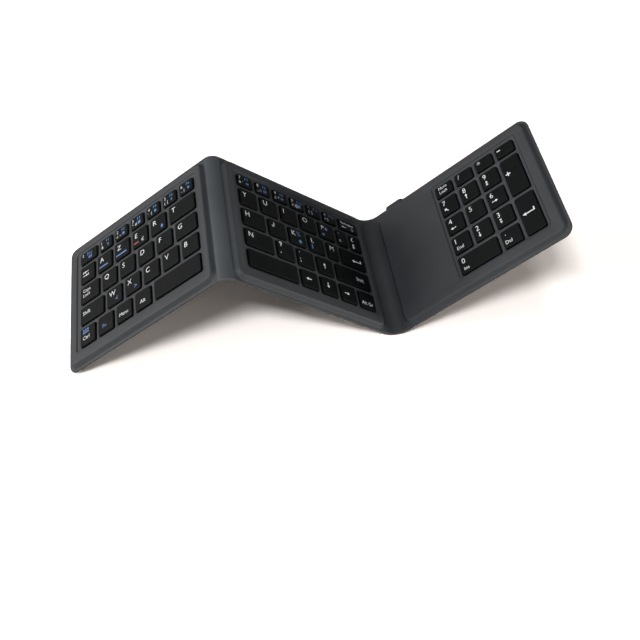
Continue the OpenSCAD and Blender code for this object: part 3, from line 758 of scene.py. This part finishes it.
# Outlines in a square of 100 by 100
SHAPES = {
    "bar": [[(0, 0), (100, 0), (100, 100), (0, 100)]],
    "diamond": [[(50, 0), (100, 50), (50, 100), (0, 50)]],
    "disc": [[(50 + 50 * cos(a), 50 + 50 * sin(a))
              for a in np.arange(12) * pi / 6]],
    "left": [[(0, 50), (40, 4), (40, 38), (100, 38), (100, 62), (40, 62), (40, 96)]],
    "up": [[(50, 100), (4, 60), (38, 60), (38, 0), (62, 0), (62, 60), (96, 60)]],
    "page_up": [[(50, 100), (0, 55), (100, 55)], [(50, 50), (0, 5), (100, 5)]],
    "home": [[(65, 100), (45, 80), (100, 15), (85, 0), (20, 55), (0, 35), (0, 100)]],
    "enter": [[(0, 35), (28, 0), (28, 24), (100, 24), (100, 100), (90, 100), (90, 46),
               (28, 46), (28, 70)]],
    "cross": [[(0, 38), (38, 38), (38, 0), (62, 0), (62, 38), (100, 38), (100, 62),
               (62, 62), (62, 100), (38, 100), (38, 62), (0, 62)]],
    "play": [[(0, 0), (100, 50), (0, 100)]],
    "pause": [[(0, 0), (35, 0), (35, 100), (0, 100)], [(65, 0), (100, 0), (100, 100), (65, 100)]],
    "next": [[(0, 0), (50, 50), (0, 100)], [(50, 0), (100, 50), (50, 100)]],
    "jay": [[(74, 100), (100, 100), (100, 30), (94, 12), (78, 2), (50, 0), (20, 3),
             (5, 13), (0, 32), (26, 34), (32, 19), (50, 15), (68, 19), (74, 32)]],
    "query": [[(0, 72), (6, 90), (28, 100), (68, 100), (93, 90), (100, 72), (92, 56),
               (62, 42), (62, 27), (36, 27), (36, 48), (62, 61), (73, 72),
               (64, 83), (34, 83), (26, 72)],
              [(36, 0), (62, 0), (62, 16), (36, 16)]],
    "keypad": [[(x, y), (x + 26, y), (x + 26, y + 38), (x, y + 38)]
               for x in (0, 37, 74) for y in (0, 60)],
}
SHAPES["right"] = [[(100 - x, y) for x, y in SHAPES["left"][0]][::-1]]
SHAPES["down"] = [[(x, 100 - y) for x, y in SHAPES["up"][0]][::-1]]
SHAPES["page_down"] = [[(x, 100 - y) for x, y in p][::-1] for p in SHAPES["page_up"]]
SHAPES["previous"] = [[(100 - x, y) for x, y in p][::-1] for p in SHAPES["next"]]


def letters(texts, across):
    """One capital letter in the upper left of each key."""
    return [[(t, across, 2.8, 3.5)] for t in texts]


def top_row(across, table):
    """Two or three small signs on the left of each key, its function number and a mark."""
    return [[(main, across, 2.0, 2.2), (low, across, 5.5, 2.1), (extra, across + 2.4, 5.5, 2.1),
             (function, across + 4.5, 2.0, 2.2, "blue"),
             (mark, across + 5.0, 5.3, 2.2, "blue", 2.2)]
            for main, low, extra, function, mark in table]


# Signs on each key of a node: a text or a shape's name, its distances from the key's left and rear
# edges, its height, its ink where that isn't white, and a shape's width
PRINTS = {
    "key_esc": [[("\u00b2", 2.4, 1.9, 3.4), ("Esc", 6.9, 1.9, 2.5, "blue"),
                 ("previous", 7.8, 5.1, 2.5, "blue", 3.4)]],
    "keys_digits_left": top_row(2, [("1", "&", "", "F1", "up"), ("2", "\u00e9", "~", "F2", "disc"),
                                      ("3", '"', "#", "F3", "bar"), ("4", "'", "{", "F4", "disc"),
                                      ("5", "(", "[", "F5", "up"),
                                      ("6", "-", "|", "F6", "diamond")]),
    "key_tab": [[("left", 3.4, 4.3, 1.6, 4.8), ("bar", 2.9, 4.3, 1.6, 0.4),
                 ("right", 2.9, 7, 1.6, 4.8), ("bar", 7.9, 7, 1.6, 0.4)]],
    "keys_upper_left": letters("AZERT", 3),
    "key_caps": [[("Caps", 3.1, 2.9, 2.3), ("Lock", 3.1, 6.3, 2.3)]],
    "keys_home_left": letters("QSDFG", 3),
    "key_shift_left": [[("Shift", 2.9, 4.2, 2.6)]],
    "keys_lower_left": letters("WXCVB", 2.8),
    "key_ctrl": [[("Ctrl", 2.9, 6.7, 2.5), ("keypad", 2.9, 1.8, 3, "blue", 5)]],
    "key_fn": [[("Fn", 4.4, 6.7, 2.5, "blue")]],
    "key_menu": [[("Menu", 3.2, 7, 2.3)]],
    "key_alt": [[("Alt", 4.6, 7, 2.5)]],
    "keys_digits_middle": top_row(1.2, [("7", "\u00e8", "`", "F7", "previous"),
                                        ("8", "_", "\\", "F8", "pause"),
                                        ("9", "\u00e7", "^", "F9", "next"),
                                        ("0", "\u00e0", "@", "F10", "bar"),
                                        ("\u00b0", ")", "]", "F11", ""),
                                        ("+", "=", "}", "F12", "")]),
    "key_backspace": [[("Backspace", 2.3, 2.4, 1.9), ("left", 2.3, 6, 1.9, 4.1),
                       ("diamond", 10.6, 5.4, 3.2, "blue", 2.8)]],
    "keys_upper_middle": letters("YUIOP", 2.5) + [[("\u00a8", 1.2, 3, 3.2), ("^", 1.2, 8.7, 3.2)],
                                                  [("\u00a3", 1, 2.6, 3.4), ("$", 1, 8.4, 3.4)]],
    "keys_home_middle": letters("H", 2.5) + [[("jay", 2.6, 2.8, 3.5, 2)]]
    + letters("KLM", 2.5),
    "key_enter": [[("enter", 9, 5.8, 3.2, 8.5)]],
    "keys_lower_middle": [[("N", 2.7, 2.8, 3.5)],
                          [("query", 2.1, 1.3, 3.4, 2.1), (",", 2.1, 6.4, 3.4)],
                          [(".", 1.6, 0.2, 3.2), (";", 1.6, 7, 3.4)]],
    "key_up": [[("up", 4.9, 4.6, 4.2, 2.3)]],
    "key_shift_right": [[("Shift", 17.2, 5.8, 2.6)]],
    "key_left": [[("left", 3.9, 5.6, 2.4, 4.2)]],
    "key_down": [[("down", 4.6, 4, 4.2, 2.3)]],
    "key_right": [[("right", 3.3, 5.8, 2.4, 4.2)]],
    "key_alt_gr": [[("Alt Gr", 1.6, 7.9, 2.5)]],
    "key_num_lock": [[("Num", 3.5, 1.5, 2.2), ("Lock", 3.5, 4.8, 2.2)]],
    "keys_pad_operators": [[("/", 2.8, 1.9, 3.2)], [("*", 2.4, 1.9, 4)],
                           [("bar", 1.8, 3.1, 0.8, 2.4)]],
    "keys_pad_upper": [[("7", 2.9, 1.9, 3.5), ("home", 3.2, 8, 2.6, 2.8)],
                       [("8", 2.9, 1.9, 3.5), ("up", 3.2, 6.5, 3.8, 2.2)],
                       [("9", 2.9, 1.9, 3.5), ("page_up", 3.3, 6.8, 3.6, 1.8)]],
    "key_plus": [[("cross", 1.7, 10.3, 3.3, 3.3)]],
    "keys_pad_centre": [[("4", 2.9, 2.1, 3.5), ("left", 2.9, 8.3, 2.2, 4.1)],
                        [("5", 2.9, 2.1, 3.5)],
                        [("6", 2.9, 2.1, 3.5), ("right", 3.1, 7.6, 2.2, 4.1)]],
    "keys_pad_lower": [[("1", 2.9, 2.3, 3.5), ("End", 2.9, 8.3, 2.4)],
                       [("2", 2.9, 2.3, 3.5), ("down", 3.2, 7.1, 3.8, 2.2)],
                       [("3", 2.9, 2.3, 3.5), ("page_down", 3.3, 7.1, 3.6, 1.8)]],
    "key_pad_enter": [[("enter", 2, 12.1, 3.2, 8.6)]],
    "key_zero": [[("0", 3, 2.4, 3.5), ("Ins", 3.2, 8.5, 2.4)]],
    "key_decimal": [[(".", 3.2, 1, 3.4), ("Del", 2, 8, 2.4)]],
}
MARKS = {
    "keys_upper_left": {0: [("bar", 2.2, 9.4, 1, "blue", 7.8)],
                        1: [("bar", 1.8, 9.4, 1, "blue", 9)],
                        2: [("bar", 1.7, 9.4, 1.1, "red", 4.1), ("\u20ac", 8.4, 8.8, 2.6)],
                        3: [("diamond", 9.1, 8.4, 3.2, "blue", 2.2)]},
    "keys_lower_left": {0: [("<", 8.1, 8, 3.4, "blue")], 1: [(">", 8.4, 8, 3.4, "blue")]},
    "keys_upper_middle": {4: [("disc", 5.3, 3.6, 2.5, "blue", 2.5),
                              ("disc", 2.4, 9.1, 2.2, "blue", 2)]},
    "keys_home_middle": {2: [("%", 6.5, 2.4, 3.4, "blue"), ("disc", 7.4, 8.4, 2.9, "blue", 2.6)],
                         3: [("bar", 2.2, 8, 3.4, "blue", 0.9)]},
}


class Lettering:
    """Words in Blender's own plain face, as flat slabs from the first letter's foot."""

    def __init__(self):
        self.made = {}
        self.capital = np.ptp(self.slab("H")[0][:, 1])

    def slab(self, text):
        if text not in self.made:
            curve = bpy.data.curves.new("word", "FONT")
            curve.body, curve.resolution_u, curve.extrude, curve.offset = text, 3, 0.5, -0.004
            word = bpy.data.objects.new("word", curve)
            mesh = bpy.data.meshes.new_from_object(word)
            points = np.array([v.co for v in mesh.vertices]).reshape(-1, 3)
            faces = [list(f.vertices) for f in mesh.polygons]
            merged, index = np.unique(np.round(points, 5), axis=0, return_inverse=True)
            index = index.ravel()
            faces = [index[f].tolist() for f in faces]
            merged[:, 0] -= merged[:, 0].min()
            self.made[text] = merged, [f for f in faces if len(set(f)) == len(f)]
            bpy.data.objects.remove(word)
            bpy.data.curves.remove(curve)
            bpy.data.meshes.remove(mesh)
        return self.made[text]

    def placed(self, text, x, y, high, top):
        points, faces = self.slab(text)
        size = high / self.capital
        return points * [size, size, INK * 2] + [x, y - high, top], faces


def shape_slabs(name, x, y, wide, high, top):
    """Plain outlines, stretched to their box and given the ink's thickness."""
    for outline in SHAPES[name]:
        flat = np.array(outline) / 100 * [wide, high] + [x, y - high]
        yield loft([at_height(flat, top - INK), at_height(flat, top + INK)])


def build_prints(s, where, inks):
    face, top = Lettering(), s.key_h
    for node, keys in PRINTS.items():
        slabs = {}
        for i, (key, signs) in enumerate(zip(KEYS[node], keys)):
            for sign, across, down, high, *rest in signs + MARKS.get(node, {}).get(i, []):
                ink = rest[0] if rest and rest[0] in inks else "white"
                x, y = key[0] + across, key[3] - down
                if sign in SHAPES:
                    slabs.setdefault(ink, []).extend(shape_slabs(sign, x, y, rest[-1], high, top))
                elif sign:
                    slabs.setdefault(ink, []).append(face.placed(sign, x, y, high, top))
        for ink, parts in slabs.items():
            piece = new_piece(f"{node}_{ink}_print", *joined(parts))
            move_points(piece, where[PANEL_OF[node]].world)
            dressed(piece, inks[ink], "key_plastic")
            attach(piece, BODY_OF[node])


# Materials

class Value:
    """A number that varies over a surface. Python's operators on it add Math nodes."""

    def __init__(self, finish, socket):
        self.finish, self.socket = finish, socket

    def _math(self, operation, a, b):
        node = self.finish.node("Math", {"operation": operation}, {0: a, 1: b})
        return Value(self.finish, node.outputs[0])

    def __add__(self, other):
        return self._math("ADD", self, other)

    def __mul__(self, other):
        return self._math("MULTIPLY", self, other)

    def ramp(self, low, high):
        """Rises smoothly from 0 at low to 1 at high."""
        node = self.finish.node("MapRange", {"interpolation_type": "SMOOTHSTEP"},
                                {"Value": self, "From Min": low, "From Max": high})
        return Value(self.finish, node.outputs[0])


class Nodes:
    """A node tree under construction, with one method that adds any node."""

    def __init__(self, tree, output):
        self.tree = tree
        tree.nodes.clear()
        self.surface = tree.nodes.new("ShaderNode" + output).inputs["Surface"]

    def node(self, kind, settings=None, inputs=None):
        node = self.tree.nodes.new("ShaderNode" + kind)
        for key, value in (settings or {}).items():
            setattr(node, key, value)
        for key, value in (inputs or {}).items():
            self.put(node.inputs[key], value)
        return node

    def put(self, socket, value):
        if isinstance(value, Value):
            value = value.socket
        if isinstance(value, bpy.types.NodeSocket):
            self.tree.links.new(value, socket)
        elif isinstance(value, tuple) and len(socket.default_value) == 4:
            socket.default_value = (*value, 1.0)
        else:
            socket.default_value = value

    def show_mix(self, share, near, far):
        """Shows one shader, and another by the given share."""
        mix = self.node("MixShader", {},
                        {0: share, 1: near.outputs[0], 2: far.outputs[0]})
        self.put(self.surface, mix.outputs[0])


class Finish(Nodes):
    """A material under construction."""

    def __init__(self, name, **constants):
        self.material = bpy.data.materials.new(name)
        self.material.use_nodes = True
        super().__init__(self.material.node_tree, "OutputMaterial")
        self.shader = self.node("BsdfPrincipled", {}, constants)
        self.put(self.surface, self.shader.outputs[0])
        self.place = self.node("TexCoord").outputs["Object"]

    def feed(self, name, value):
        self.put(self.shader.inputs[name], value)

    def noise(self, per_mm, detail=2.0, rough=0.5, stretch=None):
        where = self.place
        if stretch:
            where = self.node("Mapping", {},
                              {"Vector": where, "Scale": stretch}).outputs[0]
        node = self.node("TexNoise", {}, {"Vector": where, "Scale": per_mm * 1000,
                                                    "Detail": detail, "Roughness": rough})
        return Value(self, node.outputs["Fac"])

    def blend(self, share, a, b):
        node = self.node("Mix", {"data_type": "RGBA"},
                         {"Factor": share, "A": a, "B": b})
        return node.outputs["Result"]

    def bump(self, height, distance_mm):
        node = self.node("Bump", {}, {"Height": height, "Distance": distance_mm / 1000})
        self.feed("Normal", node.outputs[0])

    def finished(self, rgb, mask, shades, rough, height, depth_mm):
        """The material, its colour going from one shade of a tint to another by a mask."""
        self.feed("Base Color", self.blend(mask, *(shade(rgb, factor) for factor in shades)))
        self.feed("Roughness", rough)
        if height:
            self.bump(height, depth_mm)
        return self.material


def shade(rgb, factor):
    return tuple(min(1.0, c * factor) for c in rgb)


def skin_finish(name, rgb, grain=0.02, rough=0.62):
    """Soft-touch coating: a fine even grain, faint cloudy patches and slightly uneven gloss, with
    painted shade darkening the tray's lip and the foot of the raised edge.
    """
    f = Finish(name, **{"Specular IOR Level": 0.34})
    cloud = f.noise(0.035, 3.0)
    fine = f.noise(2.2, rough=0.6)
    hollow = Value(f, f.node("Attribute", {"attribute_name": "hollow"}).outputs["Fac"])
    coat = f.blend(cloud.ramp(0.3, 0.7), shade(rgb, 0.93), shade(rgb, 1.07))
    # Painted shade: darker colour where the point attribute marks the tray's lip and the raised
    # edge's foot
    f.feed("Base Color", f.blend(hollow * 0.6, coat, shade(rgb, 0.35)))
    f.feed("Roughness", fine * 0.1 + cloud * 0.06 + (rough - 0.08))
    f.bump(fine + f.noise(5.5, 1.0) * 0.5, grain)
    return f.material


def key_finish(rgb):
    """Matte black plastic with a fine spark-eroded grain and a slight gloss from use."""
    f = Finish("key_plastic", **{"Specular IOR Level": 0.09})
    fine, wear = f.noise(3.0), f.noise(0.12)
    return f.finished(rgb, wear.ramp(0.35, 0.7), (0.9, 1.15), wear * 0.12 + fine * 0.08 + 0.46,
                      fine, 0.012)


def shaded_wall_finish(rgb):
    """The smoother sides of the keys, with their colour darkened as painted shade."""
    f = Finish("key_walls_painted_shade", **{"Specular IOR Level": 0.12})
    streak = f.noise(0.8)
    return f.finished(rgb, streak, (0.3, 0.45), streak * 0.1 + 0.38, None, 0)


def print_finish(name, rgb):
    """Thin silk-screened ink: slightly uneven colour, with the plastic's grain showing."""
    f = Finish(name)
    fine = f.noise(6.0)
    return f.finished(rgb, fine.ramp(0.3, 0.75), (0.86, 1.05), fine * 0.15 + 0.42, fine, 0.006)


def sheet_metal(name, rgb, rough, stretch):
    """Metal with fine lines along one way, from rolling or brushing."""
    f = Finish(name, Metallic=1.0)
    lines = f.noise(1.2, 3.0, 0.6, stretch)
    return f.finished(rgb, lines.ramp(0.3, 0.7), (0.9, 1.05), lines * 0.18 + rough, lines, 0.008)


def satin(name, rgb, rough, patch=0.15, depth=0.01):
    """Plain moulded or laminated sheet with a faint cloudiness."""
    f = Finish(name)
    cloud, fine = f.noise(patch), f.noise(2.5)
    return f.finished(rgb, cloud.ramp(0.3, 0.7), (0.9, 1.08), cloud * 0.12 + fine * 0.06 + rough,
                      fine, depth)


def board_finish(name, rgb):
    """Green lacquer with faint conductor tracks: a square lattice of paler lines that comes and
    goes with a coarse noise."""
    f = Finish(name)
    lattice = f.node("TexVoronoi", {"distance": "CHEBYCHEV", "feature": "F1"},
                     {"Vector": f.place, "Scale": 450.0, "Randomness": 0.4}).outputs["Distance"]
    tracks = Value(f, lattice).ramp(0.28, 0.4) * f.noise(0.08, 1.0).ramp(0.4, 0.6)
    return f.finished(rgb, tracks, (1, 2.1), tracks * 0.15 + 0.28, tracks, 0.02)


INNER_FINISHES = {
    "plate_metal": (sheet_metal, (0.60, 0.62, 0.64), 0.32, (0.1, 1, 1)),
    "membrane_film": (satin, (0.70, 0.74, 0.70), 0.30),
    "dome_rubber": (satin, (0.60, 0.61, 0.63), 0.60),
    "link_plastic": (satin, (0.82, 0.83, 0.84), 0.40),
    "flex_film": (satin, (0.35, 0.16, 0.03), 0.25, 0.3, 0.005),
    "battery_foil": (sheet_metal, (0.55, 0.57, 0.60), 0.38, (1, 1, 1)),
    "board_resin": (board_finish, (0.010, 0.085, 0.035)),
    "port_metal": (sheet_metal, (0.60, 0.60, 0.62), 0.25, (1, 0.08, 1)),
}


def inner_finish(slot):
    make, *look = INNER_FINISHES[slot]
    return make(slot, *look)


def build_inner_finishes():
    made = {slot: inner_finish(slot) for slot in INNER_FINISHES}
    for part in frame["record"]["subparts"]:
        if part["material_slot"] in made:
            mesh = frame["nodes"][part["node"]].data
            mesh.materials.clear()
            mesh.materials.append(made[part["material_slot"]])
    return made


# Stage

CAMERA_AT = (-0.0581777, -0.3377180, 0.4793384)
CAMERA_TURN = (-11.3646, 50.3782, 2.4484)


def placed(thing, x, y, z, at):
    """Puts a new lamp or camera in the scene, with the given axes and place."""
    m = np.eye(4)
    m[:3] = np.stack([x, y, z, at], 1)
    thing.matrix_world = Matrix(m.tolist())
    bpy.context.scene.collection.objects.link(thing)


def camera_axes(turn):
    """Azimuth and height of the line of sight, then a roll about it, as a camera's axes."""
    az, el, roll = np.radians(turn)
    back = np.array([sin(az) * cos(el), -cos(az) * cos(el), sin(el)])
    side = np.cross(-back, [0, 0, 1])
    side /= np.linalg.norm(side)
    up = np.cross(side, -back)
    return (side * cos(roll) + up * sin(roll),
            -side * sin(roll) + up * cos(roll), back)


LAMPS_AIM = 0, 0, 0.04


def soft_lamp(name, at, size, power, rgb):
    data = bpy.data.lights.new(name, "AREA")
    data.shape, (data.size, data.size_y) = "RECTANGLE", size
    data.energy, data.color = power, rgb
    z = np.array(at) - LAMPS_AIM
    z /= np.linalg.norm(z)
    x = np.cross([0.0, 1.0, 0.0] if abs(z[2]) > 0.95 else [0.0, 0.0, 1.0], z)
    x /= np.linalg.norm(x)
    placed(bpy.data.objects.new(name, data), x, np.cross(z, x), z, at)


def floor_finish(rgb):
    """Pale matte floor. To the camera it is paler still near the object, where it keeps the
    shadow, and turns into the plain white backdrop further out."""
    f = Finish("floor", **{"Specular IOR Level": 0.0, "Roughness": 0.9})
    grain = f.noise(0.2)
    seen = Value(f, f.node("LightPath").outputs["Is Camera Ray"])
    f.feed("Base Color", f.blend(seen, f.blend(grain, shade(rgb, 0.99), rgb), FLOOR_SEEN))
    away = f.node("VectorMath", {"operation": "LENGTH"}, {0: f.place}).outputs["Value"]
    white = f.node("Emission", {}, {"Color": (1, 1, 1), "Strength": 1.0})
    f.show_mix(seen * Value(f, away).ramp(*FLOOR_FADES), f.shader, white)
    return f.material


def white_world(strength, rgb):
    """Even soft light of the given strength, and plain white where the camera sees it."""
    world = bpy.data.worlds.new("studio")
    bpy.context.scene.world = world
    world.use_nodes = True
    n = Nodes(world.node_tree, "OutputWorld")
    light = n.node("Background", {}, {"Color": rgb, "Strength": strength})
    seen = n.node("Background", {}, {"Color": (1, 1, 1)})
    n.show_mix(n.node("LightPath").outputs["Is Camera Ray"], light, seen)


FLOOR_SEEN = (1.26, 1.175, 1.13)
FLOOR_FADES = 0.27, 0.5
SOFT_LIGHT = 0.01, (1.1, 1.0, 0.9)
LAMPS = (
    ("key_lamp", (-0.50, -0.56, 1.51), (0.2, 0.2), 9.4, (0.98, 1.0, 1.01)),
    ("front_lamp", (-0.29, -0.62, 1.46), (0.2, 0.2), 8.9, (0.98, 1.0, 1.01)),
    ("top_lamp", (0.0, 0.0, 1.64), (0.3, 0.3), 4.0, (0.98, 1.0, 1.01)),
    ("rear_lamp", (0.0, 1.25, 1.04), (0.8, 0.8), 0.7, (1.0, 1.0, 1.0)),
    ("front_box", (0.1, -1.5, 0.30), (1.0, 0.4), 4.5, (1.08, 1.0, 0.92)),
    ("left_box", (-1.46, 0.05, 0.58), (1.2, 0.6), 24.0, (1.02, 1.0, 0.98)),
    ("right_box", (1.44, -0.58, 0.19), (0.6, 0.36), 17.5, (1.05, 1.0, 0.95)),
)


FLOOR_CORNERS = [[-4, -3, 0], [4, -3, 0], [4, 5, 0], [-4, 5, 0]]
FLOOR_DROP = 0.0002
CAMERA_LENS, SENSOR_W, SHIFT_Y = 50, 36, -98 / 640


def build_stage():
    floor = new_piece("studio_floor", np.array(FLOOR_CORNERS) - [0, 0, FLOOR_DROP], [[0, 1, 2, 3]])
    floor.data.materials.append(floor_finish(tint("floor")))
    floor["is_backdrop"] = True
    white_world(*SOFT_LIGHT)
    for lamp in LAMPS:
        soft_lamp(*lamp)
    data = bpy.data.cameras.new("camera")
    data.lens, data.sensor_width, data.shift_y = CAMERA_LENS, SENSOR_W, SHIFT_Y
    data.clip_start, data.clip_end = 0.01, 50
    camera = bpy.data.objects.new("camera", data)
    placed(camera, *camera_axes(CAMERA_TURN), CAMERA_AT)
    bpy.context.scene.camera = camera
    bpy.context.scene.view_settings.view_transform = "Standard"


# Add-on

class KEYBOARD_OT_skins(bpy.types.Operator):
    """Builds the upper and lower skins of the three panels"""
    bl_idname = "keyboard.skins"
    bl_label = "Panel skins"

    def execute(self, context):
        s = sizes()
        build_skins(s, places(s), skin_finish("soft_skin", tint("skin")))
        return {"FINISHED"}


class KEYBOARD_OT_webs(bpy.types.Operator):
    """Builds the two fold webs and the flat cables inside them. The left web's skin is painted
    paler as painted light on its bend, and the right web's is painted darker as painted shade in
    its fold"""
    bl_idname = "keyboard.webs"
    bl_label = "Fold webs"

    def execute(self, context):
        s = sizes()
        cable = bpy.data.materials.get("flex_film") or inner_finish("flex_film")
        # Painted light and shade: one web skin, in a paler copy for the left web and a darker copy
        # for the right web
        finishes = {"left": skin_finish("web_skin_painted_light", shade(tint("web"), 1.6), 0.012, 0.55),
                    "right": skin_finish("web_skin_painted_shade", shade(tint("web"), 0.85), 0.012, 0.55)}
        build_webs(s, places(s), finishes, cable)
        return {"FINISHED"}


class KEYBOARD_OT_caps(bpy.types.Operator):
    """Builds the key caps"""
    bl_idname = "keyboard.caps"
    bl_label = "Key caps"

    def execute(self, context):
        s = sizes()
        build_caps(s, places(s), key_finish(tint("key")), shaded_wall_finish(tint("key")))
        return {"FINISHED"}


class KEYBOARD_OT_prints(bpy.types.Operator):
    """Prints letters, digits, arrows and plain marks on the keys"""
    bl_idname = "keyboard.prints"
    bl_label = "Key prints"

    def execute(self, context):
        s = sizes()
        inks = {n: print_finish(n + "_ink", tint(n)) for n in ("white", "blue", "red")}
        build_prints(s, places(s), inks)
        return {"FINISHED"}


class KEYBOARD_OT_inside(bpy.types.Operator):
    """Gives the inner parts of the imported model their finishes, and splits the links by key"""
    bl_idname = "keyboard.inside"
    bl_label = "Inner parts"

    def execute(self, context):
        s = sizes()
        build_mechanism(s, places(s), build_inner_finishes())
        return {"FINISHED"}


class KEYBOARD_OT_stage(bpy.types.Operator):
    """Builds the floor, the lamps, the backdrop and the camera"""
    bl_idname = "keyboard.stage"
    bl_label = "Stage"

    def execute(self, context):
        build_stage()
        return {"FINISHED"}


OPERATORS = (KEYBOARD_OT_inside, KEYBOARD_OT_skins, KEYBOARD_OT_webs, KEYBOARD_OT_caps,
             KEYBOARD_OT_prints, KEYBOARD_OT_stage)


class KEYBOARD_PT_build(bpy.types.Panel):
    """Lists the pieces of the keyboard and their settings"""
    bl_idname = "KEYBOARD_PT_build"
    bl_label = "Folding keyboard"
    bl_space_type = "VIEW_3D"
    bl_region_type = "UI"
    bl_category = "Keyboard"

    def draw(self, context):
        for operator in OPERATORS:
            self.layout.operator(operator.bl_idname)
        for group in (context.scene.keyboard_sizes, context.scene.keyboard_colours):
            for name in type(group).__annotations__:
                self.layout.prop(group, name)


CLASSES = (KeyboardSizes, KeyboardColours) + OPERATORS + (KEYBOARD_PT_build,)


def register():
    for c in CLASSES:
        bpy.utils.register_class(c)
    bpy.types.Scene.keyboard_sizes = bpy.props.PointerProperty(type=KeyboardSizes)
    bpy.types.Scene.keyboard_colours = bpy.props.PointerProperty(type=KeyboardColours)


def unregister():
    del bpy.types.Scene.keyboard_colours
    del bpy.types.Scene.keyboard_sizes
    for c in reversed(CLASSES):
        bpy.utils.unregister_class(c)


def main():
    register()
    for operator in OPERATORS:
        group, name = operator.bl_idname.split(".")
        getattr(getattr(bpy.ops, group), name)()
    [[list(map(float, corner)) for corner in box] for box in (CAD_BOX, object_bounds())]


if __name__ == "__main__":
    main()
